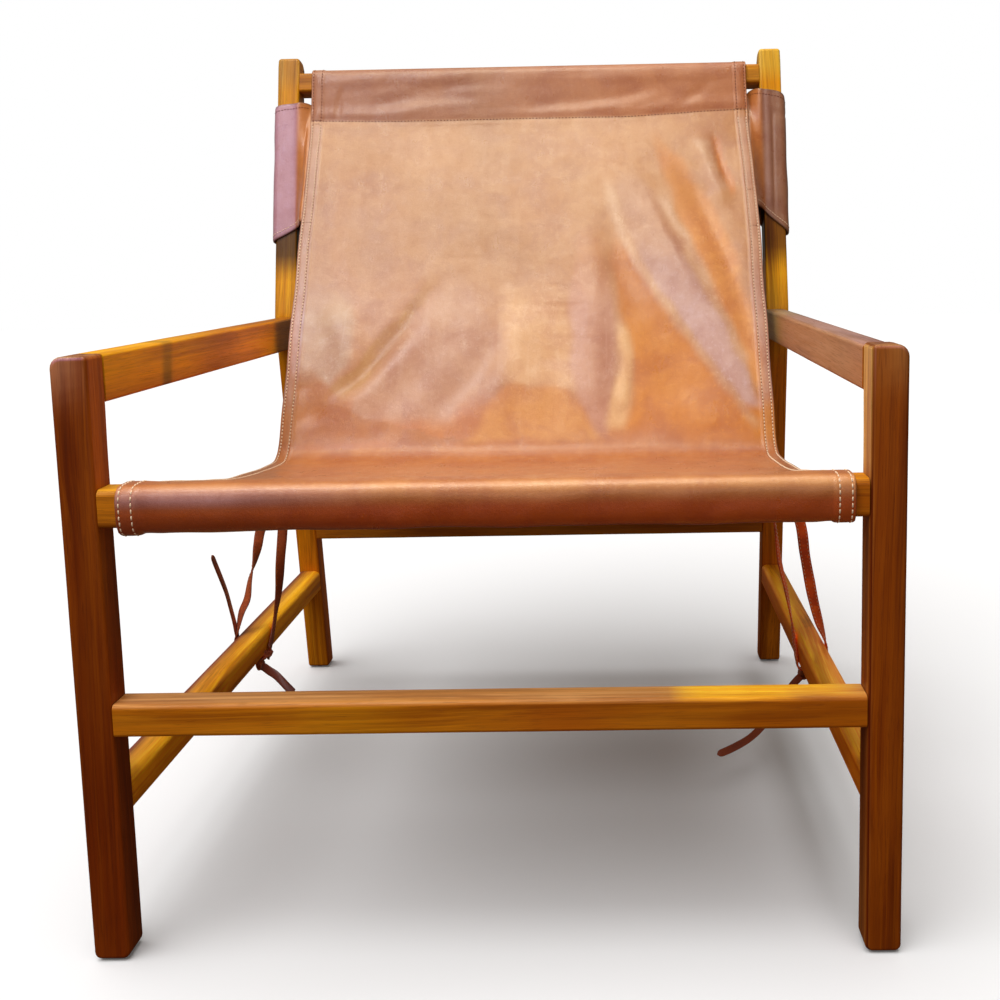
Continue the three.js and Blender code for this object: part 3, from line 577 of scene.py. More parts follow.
def front_leg(name, s):
    top = LEG_TOP[s]
    out = rounded([[-HALF_W, GLIDE_H, 6], [-LEG_IN, GLIDE_H, 6.5], [-LEG_IN, top, 4.0], [-HALF_W, top, 10]])
    out = with_points(out, (440, 455, 465, 473, 480, 486, 491))
    out = [np.array([-s * q[0], q[1]]) for q in out]

    def rims(m, back):
        if back and m.z > 430:
            return 0.6 + 2.7 * float(ease((494 - m.z) / 55))
        return 3.4
    # painted light and shade per face: paler, greyer tops (painted sheen) and painted light on the inner side faces
    t = {"-y": (1.12, 1.04, 0.2), "+z": (1.2, 2.2, 9.0)}
    if s < 0:
        t["+x"] = (1.5, 1.6, 0.7)
    else:
        t["-y"] = (1.28, 1.28, 0.25)
        t["-x"] = (3.5, 11.0, 40.0)

    def shade(q, nrm):
        # painted cool sheen round the top, strongest on the left leg's front, and redder toward the foot; the right
        # leg's inner face has painted light above the rail and painted shade below it
        outer = float(ease((s * q[0] - 326) / 8))
        painted_sheen = float(ease((q[2] - top + 62) / 56)) ** 1.5 * max(0.0, -nrm[1], s * nrm[0]) * (0.25 + 0.75 * outer)
        foot = float(ease((230 - q[2]) / 120)) * (1.0 if s < 0 else 0.15)
        painted_sheen *= 1.0 if s < 0 else 0.4
        m = np.array((1 + 0.95 * painted_sheen, 1 + 3.0 * painted_sheen, 1 + (5 + (112 if s < 0 else 60) * max(0.0, -nrm[1]) ** 6) * painted_sheen)) * np.array((1 - 0.20 * foot, 1 - 0.34 * foot, 1 - 0.5 * foot))
        if s > 0 and nrm[0] < -0.3:
            m = m * (1 + (np.array((0.50, 0.22, 0.08)) - 1) * float(ease((440 - q[2]) / 30)))
            # the eased edge beside it is the leg's own brown
            m = m * (1 + (np.array((0.50, 0.28, 0.10)) - 1) * float(ease((0.97 + nrm[0]) / 0.2)))
        return m
    member(name, "y", out, 0, LEG, "wood_dark", [name], rims=rims, length=2, painted_face_light=t, shade=shade, seed=3 if s < 0 else 5, cut=12.0)


both("front_leg", front_leg)


def armrest(name, s):
    z1, depth, fall = ARM[s]
    z0, xi = z1 - depth, -(HALF_W - ARM_W)
    out = rounded([[-HALF_W, z0, 5], [xi, z0, 3.5], [xi, z1, 3.5], [-HALF_W, z1, 10]])
    out = [np.array([-s * q[0], q[1]]) for q in out]
    ends = lambda p, side, at: at if side == 0 else float(post_front(min(p[2] - fall * 600, POST_KINK_Z))) - GAP
    # painted light per face: painted light on the inner faces and tops, a painted grey reflection on the right arm's
    t = {"-x": (1, 1, 1), "+x": (1, 1, 1)}
    t["+x" if s < 0 else "-x"] = (1.35, 1.42, 0.16) if s < 0 else (1.0, 1.66, 20.0)
    t["+z"] = (1.2, 1.3, 0.8) if s < 0 else (0.84, 1.45, 30.0)

    def shade(q, nrm):
        # the left arm has a painted golden highlight along its upper inner edge and a dark knot band; the right one is
        # greyer at its ends
        if s < 0:
            z = q[2] + fall * (q[1] - LEG)
            top = float(ease((z - z1 + 11) / 8)) * float(ease((360 - q[1]) / 160))
            band = math.exp(-(((q[1] - 172 - 0.15 * (z - z1)) / 12.5) ** 4)) * (1 - 0.5 * top)
            rear = float(ease((q[1] - 515) / 25)) * max(0.0, nrm[0])
            brown = float(ease((q[1] - 300) / 120)) * (1 - rear) * max(0.0, nrm[0])
            m = np.array((1 + 0.55 * top, 1 + 1.2 * top, 1 + 0.6 * top)) * (1 - band * np.array((0.68, 0.58, 0.2)))
            return m * (1 - rear * np.array((0.34, 0.28, -8.0))) * (1 + brown * np.array((0.56, 0.80, -0.9)))
        rear = float(ease((q[1] - 420) / 120))
        warm = float(ease((120 - q[1]) / 90))
        return (1 - 0.1 * rear + 0.1 * warm, 1 + 0.1 * rear, 1 - 0.15 * rear)
    member(name, "y", out, LEG + GAP, 0, "wood_mid", [name], rim=0.5, length=1, painted_face_light=t, shade=shade, ends=ends, seed=7 if s < 0 else 9, fall=fall, cut=7.0 if s < 0 else 20.0)


both("armrest", armrest)


def rear_post(name, s):
    out = rounded([
        [POST_FOOT_Y, GLIDE_H, 5], [POST_KINK_Y, POST_KINK_Z, 40], [POST_TOP_Y, POST_TOP_Z, 5],
        [POST_TOP_Y + POST_D - 1, POST_TOP_Z - 5, 14], [POST_KINK_Y + POST_D, POST_KINK_Z, 40], [POST_FOOT_Y + POST_D, GLIDE_H, 5]])

    def rims(m, far):
        if m.z > POST_TOP_Z - 12:
            return 4.6
        return 2.8
    x0, x1 = s * HALF_W, s * POST_IN

    def shade(q, nrm):
        # redder below the armrest, with the front face tinted apart from the sides there (painted light and shade),
        # paler just above the armrest, the painted shadow of the leather loop just under the loop, and a greyer tone at
        # the top
        low = float(ease((500 - q[2]) / 60))
        mid_ = float(ease((q[2] - 540) / 40) * ease((640 - q[2]) / 50))
        under = float(ease((q[2] - 578) / 44) * ease((680 - q[2]) / 16))
        top_ = float(ease((q[2] - 845) / 25))
        face = max(0.0, -nrm[1]) ** 2
        below = np.array((1.08, 0.60, 0.45)) * (1 - face) + np.array((1.5, 1.35, 0.8) if s < 0 else (1.25, 0.85, 0.5)) * face
        m = 1 + (below - 1) * low
        m = m * (1 + (np.array((1.25, 1.4, 1.0) if s < 0 else (1.45, 1.6, 0.9)) - 1) * (1 - low))
        m = m * (1 + (np.array((1.22, 1.25, 0.7)) - 1) * mid_) * (1 + (np.array((0.20, 0.20, 0.9) if s < 0 else (0.27, 0.21, 0.3)) - 1) * under)
        # the inner face in the loop's painted shadow is nearly black
        if s * nrm[0] < -0.5:
            m = m * (1 - 0.85 * under)
        return m * (1 + (np.array((0.82, 0.90, 4.0) if s < 0 else (0.98, 1.34, 6.0)) - 1) * top_)
    member(name, "x", out, x0, x1, "wood_gold", [name], rims=rims, length=2, seed=12 if s < 0 else 15, shade=shade, cut=12.0)


both("rear_post", rear_post)


def cross(name, outline, half, slot, seed, painted_face_light=None, shade=None):
    member(name, "x", rounded(outline), -half + GAP, half - GAP, slot, [name], rim=0.5, length=0, seed=seed, painted_face_light=painted_face_light, shade=shade, cut=14.0)


def stretcher_shade(q, nrm):
    # a pale golden patch on the top at the right, the face redder and darker toward the right end
    gold = math.exp(-(((q[0] - 262) / 52) ** 4)) * float(ease((q[2] - 230.5) / 3)) * float(ease((q[1] - 2 - 0.045 * (262 - q[0])) / 6))
    red = float(ease((q[0] - 100) / 200)) * max(0.0, -nrm[1])
    m = np.array((1 + 0.95 * gold, 1 + 1.1 * gold, 1 - 0.7 * gold))
    on_top = float(ease((q[2] - 230.5) / 3))
    gold = on_top * (1 - gold) * float(ease((q[0] - 150) / 30) * ease((280 - q[0]) / 40))
    m = m * np.array((1 + 0.95 * gold, 1 + 1.35 * gold, 1 - 0.5 * gold))
    # the face is paler left of the middle and redder right of it
    pale_, deep_ = [(1 - on_top) * math.exp(-(((q[0] - at) / w) ** 2)) for at, w in ((-115, 48), (62, 58))]
    m = m * (1 + pale_ * np.array((0.22, 0.5, 0.3))) * (1 - deep_ * np.array((0.22, 0.42, 0.5)))
    return m * (1 - red * np.array((0.28, 0.45, 0.8)))


# painted light per face: paler tops, and a painted grey reflection on the stretcher's top
cross("front_seat_rail", [[0, 390, 5.5], [32, 390, 4.5], [32, 423.5, 6], [0, 423.5, 6]], LEG_IN, "wood_gold", 21,
      painted_face_light={"-y": (1.08, 0.86, 0.5), "+z": (1.4, 1.6, 1.6)}, shade=lambda q, nrm: (0.86, 0.72, 0.3) if q[0] > 0 else (1, 1, 1))
cross("front_stretcher", [[0, 206.5, 3.5], [LEG, 206.5, 3.5], [LEG, 235.5, 4], [0, 235.5, 4.5]], LEG_IN, "wood_mid", 23,
      painted_face_light={"-y": (1.38, 1.38, 0.8), "+z": (1.98, 3.0, 24.0)}, shade=stretcher_shade)
cross("rear_stretcher", [[680.5, 206.5, 3.5], [708.5, 206.5, 3.5], [708.5, 235.5, 4], [680.5, 235.5, 4]], POST_IN, "wood_mid", 25)
cross("top_rail", [[*tilted(-15.1, -14), 4], [*tilted(15.1, -14), 4], [*tilted(15.1, 14), 5], [*tilted(-15.1, 14), 5]], POST_IN, "wood_gold", 27)


def side_stretcher(name, s):
    out = rounded([[-353.7, 126, 4], [-325, 126, 4], [-325, 156.4, 7], [-353.7, 156.4, 4]])
    out = [np.array([-s * q[0], q[1]]) for q in out]
    ends = lambda p, side, at: at if side == 0 else float(post_front(p[2])) - GAP

    def shade(q, nrm):
        # a painted golden highlight along the inner edge, browner outside; the right one has a darker band across its
        # top
        u = (s * q[0] - 325) / 28.7
        gold = math.exp(-(((u - 0.16) / 0.24) ** 2)) * float(ease((q[2] - 146) / 8))
        m = np.array((1 + 0.55 * gold, 1 + 0.95 * gold, 1 - 0.1 * gold))
        if s < 0:
            brown = float(ease((u - 0.26) / 0.14) * ease((q[2] - 146) / 3))
            m = m * (1 - brown * np.array((0.66, 0.76, -0.6)))
        if s > 0:
            pale_ = float(ease((u - 0.2) / 0.2) * ease((q[2] - 146) / 3))
            m = m * (1 + pale_ * np.array((0.85, 0.8, 2.2)) * float(ease((520 - q[1]) / 120)))
            m = m * (1 - 0.55 * math.exp(-(((q[1] - 380 - 60 * u) / 26) ** 2)) * float(ease((u - 0.1) / 0.3)))
        return m
    # painted light per face: a paler top and painted light on the sides
    member(name, "y", out, LEG + GAP, 0, "wood_gold", [name], rim=0.5, length=1, ends=ends, seed=31 if s < 0 else 34, cut=16.0,
           painted_face_light={"+z": (1.8, 1.7, 2.6), "+x": (2.1, 1.9, 0.6), "-x": (2.0, 1.2, 0.7)}, shade=shade)


both("side_stretcher", side_stretcher)

for g in ("glide_front_left", "glide_front_right", "glide_rear_left", "glide_rear_right"):
    ob = frame["nodes"][g] if isinstance(frame["nodes"], dict) else bpy.data.objects[g]
    ob = ob if isinstance(ob, bpy.types.Object) else bpy.data.objects[g]
    if not ob.material_slots:
        ob.data.materials.append(GLIDE)
    for k in ob.material_slots:
        k.material = GLIDE

# ---------------------------------------------------------------- the sling
FINE = 4.0
LINE = [[82, 409.3], [66, 412.6], [58, 411.6], [50, 405.4], [43, 396], [38, 390.2], [30, 387.4], [19, 386.95], [10, 387.1],
        [5, 387.6], [-1.2, 390.5], [-3.6, 398], [-3.9, 408], [-3.4, 416.2], [-1.2, 421.5], [3.8, 424.5], [13, 425.0], [25, 424.4], [36, 421.0],
        [60, 416.4], [100, 408.3], [140, 400.8], [180, 393.1], [218, 385.8], [255, 379.6], [287, 375.4], [320, 371.8], [350, 369.3],
        [380, 366.8], [405, 365.2], [424, 364.6], [438, 366.4], [450, 373.2], [459.5, 385.6],
        [487.5, 436], [515.3, 486], [543, 536], [570.8, 586], [598.6, 636], [626.4, 686], [654.2, 736], [673, 769.8], [684, 790],
        [692, 808], [699, 829], [703.6, 846],
        tilted(-17.4, 10.6), tilted(-13.1, 15.1), tilted(0, 15.6), tilted(13.1, 15.1), tilted(17.4, 10.6), tilted(17.6, 0),
        tilted(17.6, -10), tilted(16.1, -16), [736, 829], [724, 817], [708, 807.6], [696.5, 803.6], [691.6, 798], [687.6, 790.4], [685, 785.4]]
line, SS = spline(LINE, FINE if FINE > 5 else 3.6)


def s_at(y, z, lo=0, hi=1e9):
    """Distance along the sling at the centre-line point nearest to (y, z)."""
    d = np.hypot(line[:, 0] - y, line[:, 1] - z) + 1e6 * ((SS < lo) | (SS > hi))
    return float(SS[int(np.argmin(d))])


S_TUBE, S_TOP_TUBE, S_SEAT = s_at(5, 387.6), s_at(1.3, 423.3), s_at(60, 416.4, 150)
S_CREASE = s_at(450, 373.2)
S_BACK = s_at(459.5, 385.6)
S_HEM = s_at(689, 801, S_BACK, s_at(703.6, 846))
S_TURN = s_at(703.6, 846)
S_OVER = s_at(*tilted(17.6, 0))

edge = [0, 0.3, 0.8, 1.8, 2.8, 3.8, 5.2, 6.8, 8.6, 10.4, 11.8, 12.8, 13.8, 14.8, 16.0, 17.4, 18.8, 20.4, 22.6, 25.6, 29.4]
inner = np.linspace(-SLING_HALF + 29.4, SLING_HALF - 29.4, int((2 * SLING_HALF - 58.8) / (FINE + 0.4)) + 1)[1:-1]
XX = np.r_[[-SLING_HALF + e for e in edge], inner, [SLING_HALF - e for e in reversed(edge)]]
S, X = np.meshgrid(SS, XX, indexing="ij")
EDGE_R = np.interp(SS, [0, S_TOP_TUBE, S_CREASE, s_at(515.3, 486, S_BACK), s_at(626.4, 686, S_BACK), s_at(654.2, 736, S_BACK), s_at(684, 790, S_BACK), S_TURN, SS[-1]],
                   [310.6, 310.8, 312.2, 312.2, 311.3, 309.2, 306.6, 305.2, 305.2])
X = np.where(X > 0, X * EDGE_R[:, None] / SLING_HALF, X)
LY = np.interp(S, SS, line[:, 0])
LZ = np.interp(S, SS, line[:, 1])
E = np.where(X > 0, EDGE_R[:, None] - X, SLING_HALF + X)  # distance from the side edge

rng = np.random.RandomState(4)


def waves(a, b, scale, count, seed):
    """Smooth, seeded unevenness of about unit size."""
    r = np.random.RandomState(seed)
    out = np.zeros_like(a)
    for _ in range(count):
        ang = r.uniform(0, math.pi)
        k = 2 * math.pi / (scale * r.uniform(0.7, 1.5))
        out += np.sin(k * (a * math.cos(ang) + b * math.sin(ang)) + r.uniform(0, 2 * math.pi))
    return out / math.sqrt(count)


def ridge(a, b, pts, w0, w1, lead=0.3, tail=0.3, skew=0.0):
    """A fold along a line through pts in the plane (a, b): 1 on the line, fading over w0 (start) to w1 (end) across it."""
    q, d = spline(pts, 6.0)
    total = d[-1]
    best = np.full(a.shape, 1e12)
    along = np.zeros(a.shape)
    sign = np.zeros(a.shape)
    for k in range(len(q) - 1):
        p, r = q[k], q[k + 1]
        v = r - p
        L2 = float(v @ v)
        t = np.clip(((a - p[0]) * v[0] + (b - p[1]) * v[1]) / L2, 0, 1)
        dx, dy = a - (p[0] + t * v[0]), b - (p[1] + t * v[1])
        dd = dx * dx + dy * dy
        m = dd < best
        best = np.where(m, dd, best)
        along = np.where(m, (d[k] + t * (d[k + 1] - d[k])) / total, along)
        sign = np.where(m, np.sign(v[0] * dy - v[1] * dx), sign)
    w = w0 + (w1 - w0) * along
    dist = np.sqrt(best)
    w = w * (1 + skew * sign)
    return np.exp(-((dist / w) ** 2)) * ease(along / lead) * ease((1 - along) / tail)


on_back = ease((S - S_BACK + 25) / 40) * ease((S_HEM + 3 - S) / 14)
on_seat = ease((S - S_TOP_TUBE) / 30) * ease((S_BACK + 15 - S) / 40)
inside = ease((E - 16) / 18)

D = np.zeros_like(S)
fade_low = 1 - 0.62 * ease((600 - LZ) / 130)
# folds drawn up from the lower right corner, and the shorter ones from the lower left
D += on_back * (
    -1.9 * ridge(X, LZ, [(253, 780), (260, 750), (267, 722), (276, 690)], 6, 7)
    + 2.0 * ridge(X, LZ, [(230, 776), (245, 738), (260, 694), (271, 666)], 9, 10)
    - fade_low * 3.4 * ridge(X, LZ, [(178, 790), (208, 731), (233, 681), (259, 614), (278, 549), (291, 486), (299, 415)], 19, 15, 0.4, 0.3)
    + fade_low * 5.0 * ridge(X, LZ, [(134, 736), (172, 664), (201, 602), (224, 556), (252, 506), (271, 462), (290, 410)], 23, 17, 0.45, 0.2, -0.38)
    + 0.9 * ridge(X, LZ, [(108, 704), (130, 636), (164, 570), (208, 506), (253, 445), (278, 405)], 6, 5, 0.15, 0.15)
    + 0.8 * ridge(X, LZ, [(178, 696), (204, 634), (232, 569), (264, 505), (282, 460)], 5, 4, 0.15, 0.15)
    - 3.4 * ridge(X, LZ, [(98, 720), (121, 616), (142, 564), (166, 513), (196, 455), (214, 385)], 20, 36, 0.45, 0.2)
    + 3.4 * ridge(X, LZ, [(76, 680), (84, 600), (86, 545), (87, 490), (88, 430), (90, 390)], 24, 19, 0.45, 0.2)
    + 0.9 * ridge(X, LZ, [(122, 540), (127, 489), (127, 455), (118, 405)], 7, 6, 0.2, 0.2)
    - 1.4 * ridge(X, LZ, [(40, 520), (34, 460), (32, 407), (30, 373)], 20, 16)
    + 2.0 * ridge(X, LZ, [(-10, 560), (-22, 500), (-30, 440), (-40, 380)], 24, 20)
    - 2.4 * ridge(X, LZ, [(-262, 420), (-247, 435), (-219, 456), (-180, 494), (-150, 531), (-95, 590)], 10, 17, 0.25, 0.5)
    + 2.2 * ridge(X, LZ, [(-240, 412), (-225, 420), (-184, 458), (-136, 507), (-82, 562)], 15, 26, 0.25, 0.5)
    + 2.4 * ridge(X, LZ, [(-262, 560), (-240, 520), (-222, 478), (-206, 450)], 20, 16)
    - 2.6 * ridge(X, LZ, [(-283, 470), (-270, 430), (-262, 400)], 16, 22)
    - 2.2 * ridge(X, LZ, [(-130, 400), (-90, 440), (-50, 480), (-20, 540)], 16, 22)
)
# slack and unevenness of the hide
D += inside * (0.8 * waves(X, S, 210, 6, 1) + 0.35 * waves(X, S, 95, 8, 2) + 0.10 * waves(X, S, 42, 12, 3)) * (on_back + 0.8 * on_seat)
# faint creases across the back
for z, x0, x1, a in ((548, -40, 90, 0.35), (571, 10, 60, 0.3), (662, -80, 20, 0.25), (610, -150, -40, 0.3), (505, 40, 110, 0.25)):
    D -= on_back * a * np.exp(-(((LZ - z + 0.03 * (X - x0)) / 1.6) ** 2)) * ease((X - x0) / 25) * ease((x1 - X) / 25)
# the seat dips a little in its middle and lifts toward the hems
D += -2.0 * on_seat * np.cos(np.clip(X / SLING_HALF, -1, 1) * math.pi / 2) * ease((S - S_SEAT) / 160) * ease((S_BACK - S) / 60)

# hem along both sides: double leather to 17 mm, two stitch rows with their furrows and puckers
ROW1 = 3.2
row2 = 13.6 + 1.6 * ease((LZ - 760) / 60) * (S > S_BACK)
hem = ease((18.6 - E) / 2.4)
on_rail = ease((S_SEAT + 10 - S) / 20) * ease((S - S_TUBE - 30) / 12)
D += 0.7 * hem * (1 - 0.7 * on_rail)
for r0 in (ROW1 + 0 * S, row2):
    D -= 0.32 * np.exp(-(((E - r0) / 0.9) ** 2))
    D -= 0.16 * np.exp(-(((E - r0) / 3.0) ** 2)) * (0.5 + 0.5 * np.sin(2 * math.pi * S / 8.8))
D += 0.5 * waves(S, 0 * S, 60, 5, 8) * ease((16 - E) / 12) * (on_back + on_seat)

# top hem: the seam, the puff over it and the diagonal rucks of the sleeve
seam_z = 801 + 7 * ease((X - 120) / 180) + 2 * ease((-X - 200) / 100)
dz = LZ - seam_z
in_back = (S > S_BACK) & (S < S_TURN + 30)
D -= in_back * 0.7 * np.exp(-((dz / 1.8) ** 2))
D += in_back * 0.9 * ease((dz - 1) / 9) * ease((E - 2) / 8) * (1 - 0.8 * ease((LZ - 855) / 14))
TOPZ = np.where(in_back, LZ, 0)
D += in_back * ease((dz - 2) / 8) * (
    0.9 * ridge(X, TOPZ, [(-225, 806), (-150, 820), (-80, 824), (0, 836), (60, 830)], 9, 9)
    - 0.9 * ridge(X, TOPZ, [(-225, 822), (-180, 834), (-130, 846), (-60, 848)], 10, 10)
    - 1.0 * ridge(X, TOPZ, [(-30, 812), (40, 822), (110, 826), (190, 842), (230, 852)], 10, 10)
    + 0.8 * ridge(X, TOPZ, [(60, 812), (130, 820), (200, 836)], 8, 8)
    + 0.6 * ridge(X, TOPZ, [(-120, 846), (-60, 838), (-10, 848)], 8, 8)
    - 0.9 * ridge(X, TOPZ, [(200, 812), (235, 832), (262, 856)], 8, 8)
    - 1.1 * ridge(X, TOPZ, [(-268, 806), (-266, 830), (-258, 852)], 3.2, 3.6, 0.15, 0.2)
    + 0.8 * ridge(X, TOPZ, [(-275, 806), (-274, 830), (-268, 852)], 4.0, 4.0, 0.15, 0.2)
    + 0.30 * waves(X, TOPZ * 2.2, 70, 9, 14)
)
# front sleeve: full in its lower half, with shallow bulges along it and dents beside the end seams
tube = ease((S - S_TUBE + 40) / 30) * ease((S_TOP_TUBE - 2 - S) / 16)
D += tube * (0.5 * waves(X, S * 1.5, 150, 6, 21) + 0.22 * waves(X, S * 2, 60, 8, 22)) * ease((E - 10) / 20)
D -= tube * 0.8 * ease((E - 15) / 3) * ease((34 - E) / 14)
# the slack end of the sleeve hangs lower at the left
low = ease((S_TUBE + 14 - S) / 16) * ease((S - S_TUBE + 60) / 30)
D += low * 2.2 * ease((-X - 240) / 60)

ny, nz = np.gradient(line[:, 0]), np.gradient(line[:, 1])
nl = np.hypot(ny, nz)
TY, TZ = np.interp(S, SS, ny / nl), np.interp(S, SS, nz / nl)
off = 0.4 + D
mid = np.dstack((X, LY - TZ * off, LZ + TY * off))
# edges are a little uneven and draw in between the folds
mid[:, :, 0] += np.sign(X) * -0.6 * np.exp(-E / 40) * (1 + waves(S, 0 * S, 130, 4, 9)) * on_back
NN = grid_normals(mid)
THICK = 2.6
thin = np.where(E < 0.2, 0.30, np.where(E < 0.5, 0.72, 1.0))
end = np.minimum(S, S[-1] - S)
thin = thin * np.where(end < 0.2, 0.35, 1.0)
TOP = mid + NN * (THICK / 2 * thin)[:, :, None]
BOT = mid - NN * (THICK / 2 * thin)[:, :, None]


def sling_tint():
    c = np.ones((*S.shape, 4), np.float32)
    k = np.zeros_like(S)
    for r0 in (ROW1 + 0 * S, row2):
        k += 0.05 * np.exp(-(((E - r0) / 0.8) ** 2))
    k += 0.35 * ease((1.0 - E) / 0.9)
    k += in_back * 0.10 * np.exp(-((dz / 1.2) ** 2))
    k = np.clip(k, 0, 0.8)
    back = ease((S - S_CREASE + 10) / 30)
    # painted reflections on the back panel's folds (lilac and cream) and painted shade where the folds turn from the
    # light (orange), each between two lines (height, left edge, right edge)
    wx = X + 1.8 * waves(X, LZ, 40, 8, 71)
    wz = LZ + 2.4 * waves(X, LZ, 60, 8, 73)

    def sheen_and_shade_area(rows, soft=7.0, up=22.0, down=14.0):
        z, a, b = (np.array(q, float)[::-1] for q in zip(*rows))
        xa, xb = np.interp(wz, z, a), np.interp(wz, z, b)
        return back * ease((wx - xa + soft / 2) / soft) * ease((xb + soft / 2 - wx) / soft) * \
            ease((z[-1] + up * 0.4 - wz) / up) * ease((wz - z[0] + down * 0.6) / down)

    def lay(m, tint):
        c[:, :, :3] += np.clip(m, 0, 1)[:, :, None] * (np.asarray(tint) - c[:, :, :3])

    # painted sheen over the whole back panel, changing with height and across: bluest at mid height, warmer and more
    # orange toward the seat, with soft patches of painted sheen
    high = ease((LZ - 530) / 90)
    low_part = ease((448 - LZ) / 40)
    across = lambda *v: np.interp(X, (-260, -70, 110, 260), v)
    tops = (across(0.86, 0.80, 0.98, 0.98), across(1.13, 1.02, 1.34, 1.3), across(1.86, 1.54, 2.25, 2.1))
    lows = (across(1.05, 1.10, 1.01, 1.22), across(0.93, 1.16, 0.89, 1.22), across(0.48, 1.10, 0.38, 0.46))
    for k3, middle in enumerate((0.99, 1.42, 2.95)):
        general = middle + (tops[k3] - middle) * high
        c[:, :, k3] = 1 + back * (general + (lows[k3] - general) * low_part - 1)
    soft_patch = 0.5 + 0.5 * np.clip(waves(X, LZ, 120, 7, 74), -1, 1)
    lay(back * 0.25 * soft_patch * ease((LZ - 470) / 60), (1.02, 1.30, 1.95))
    lay(0.85 * sheen_and_shade_area([(572, -34, 47), (541, -31, 52), (503, -27, 57), (472, -22, 62), (445, -21, 65)], 26, 60, 12), (1.36, 2.38, 5.3))
    lay(0.85 * sheen_and_shade_area([(574, -116, -74), (542, -132, -57), (517, -149, -43), (493, -166, -40), (469, -184, -47), (445, -200, -66), (428, -217, -78), (408, -225, -90)], 16, 50, 22), (1.04, 1.66, 4.6))
    lay(0.9 * sheen_and_shade_area([(564, -289, -231), (526, -293, -222), (502, -293, -223), (477, -290, -228), (453, -285, -247)], 14, 60, 20), (1.0, 1.92, 5.8))
    lay(0.35 * sheen_and_shade_area([(760, -300, -262), (700, -300, -266), (640, -300, -262), (560, -298, -250)], 22, 60, 40), (0.80, 1.15, 2.6))
    lay(0.8 * sheen_and_shade_area([(575, -134, -118), (543, -158, -138), (519, -180, -157), (494, -202, -176), (470, -223, -192), (452, -244, -206), (435, -260, -225)], 9, 60, 24), (0.91, 1.30, 1.5))
    lay(0.8 * sheen_and_shade_area([(469, -302, -271), (447, -300, -244), (423, -300, -226), (400, -302, -154), (382, -303, -54)], 14, 26, 10), (0.89, 0.88, 0.44))
    down_r4 = ease((600 - LZ) / 70)
    lay(0.8 * sheen_and_shade_area([(637, 71, 103), (603, 64, 107), (552, 57, 112), (502, 57, 116), (465, 60, 115), (436, 67, 112), (412, 77, 109), (392, 84, 104)], 12, 60, 20),
        np.dstack((1.04 + 0.08 * down_r4, 1.38 + 0.38 * down_r4, 2.7 + 2.9 * down_r4)))
    down_v3 = ease((560 - LZ) / 60)
    lay(0.95 * sheen_and_shade_area([(636, 113, 135), (603, 115, 151), (570, 119, 168), (538, 122, 189), (507, 132, 211), (476, 138, 234), (446, 140, 256), (422, 135, 272), (399, 124, 283)], 16, 50, 22),
        np.dstack((1.04 + 0.24 * down_v3, 0.96 + 0.40 * down_v3, 0.36 + 0.20 * down_v3)))
    down_v2 = ease((690 - LZ) / 60)
    lay(0.9 * sheen_and_shade_area([(767, 171, 188), (738, 178, 212), (703, 190, 234), (668, 202, 254), (634, 215, 266), (601, 227, 277), (568, 235, 283), (536, 251, 291), (505, 266, 298), (474, 279, 302), (444, 291, 305)], 16, 50, 30),
        np.dstack((1.13 + 0.24 * down_v2, 1.22 + 0.46 * down_v2, 0.96 + 0.80 * down_v2)))
    lay(0.9 * sheen_and_shade_area([(520, 118, 132), (489, 120, 136), (459, 118, 137), (429, 107, 132), (400, 102, 126)], 12, 24, 24), (1.50, 2.7, 5.6))
    down_r2 = ease((650 - LZ) / 140)
    lay(sheen_and_shade_area([(718, 118, 148), (697, 120, 173), (669, 127, 184), (635, 139, 199), (602, 154, 213), (569, 172, 228), (537, 194, 245), (506, 215, 261), (475, 237, 275), (444, 260, 286), (421, 275, 293)], 16, 50, 18)
        * (0.6 + 0.4 * ease((650 - LZ) / 60)), np.dstack((0.90 + 0.32 * down_r2, 1.30 + 1.1 * down_r2, 3.5 + 6.5 * down_r2)))
    lay(0.9 * sheen_and_shade_area([(704, 106, 116), (670, 113, 123), (636, 125, 136), (602, 140, 151), (570, 159, 170), (538, 181, 192), (506, 203, 214), (475, 226, 236), (445, 248, 258), (421, 267, 275), (397, 283, 289)], 18, 44, 18), (1.30, 2.45, 6.6))
    lay(0.95 * sheen_and_shade_area([(690, 176, 188), (669, 185, 198), (634, 201, 215), (601, 215, 229), (569, 230, 243), (536, 246, 257), (505, 261, 271), (474, 275, 284)], 16, 40, 16), (1.36, 2.6, 7.6))
    lay(0.9 * sheen_and_shade_area([(770, 228, 248), (745, 238, 254), (720, 246, 261), (696, 257, 269)], 8, 14, 16), (1.18, 2.1, 5.6))
    lay(0.9 * sheen_and_shade_area([(770, 253, 262), (750, 257, 268), (728, 263, 274), (706, 270, 280), (690, 275, 284)], 7, 14, 16), (1.12, 1.08, 0.7))
    lay(0.9 * sheen_and_shade_area([(447, -25, 55), (431, -41, 62), (408, -55, 79), (384, -67, 94)], 16, 9, 10), (1.28, 1.68, 1.8))
    # painted shade in the crease between seat and back
    crease_shade = np.exp(-(((S - S_BACK + 8) / 15.0) ** 2))
    c[:, :, :3] *= 1 + crease_shade[:, :, None] * (np.array((0.93, 0.88, 0.72)) - 1)
    # the sleeve over the top rail is darker and the side hems are bluer
    over_top_rail = in_back * ease((dz + 1) / 3)
    over_top_rail_tint = np.dstack((across(0.75, 0.87, 0.89, 0.92), across(0.57, 0.77, 0.69, 0.72), across(0.58, 0.88, 0.63, 0.66)))
    c[:, :, :3] *= 1 + over_top_rail[:, :, None] * (over_top_rail_tint - 1)
    side_hem = hem * (on_back + 0.5 * on_seat)
    c[:, :, :3] *= 1 + 0.6 * side_hem[:, :, None] * (np.array((0.86, 0.95, 1.9)) - 1)
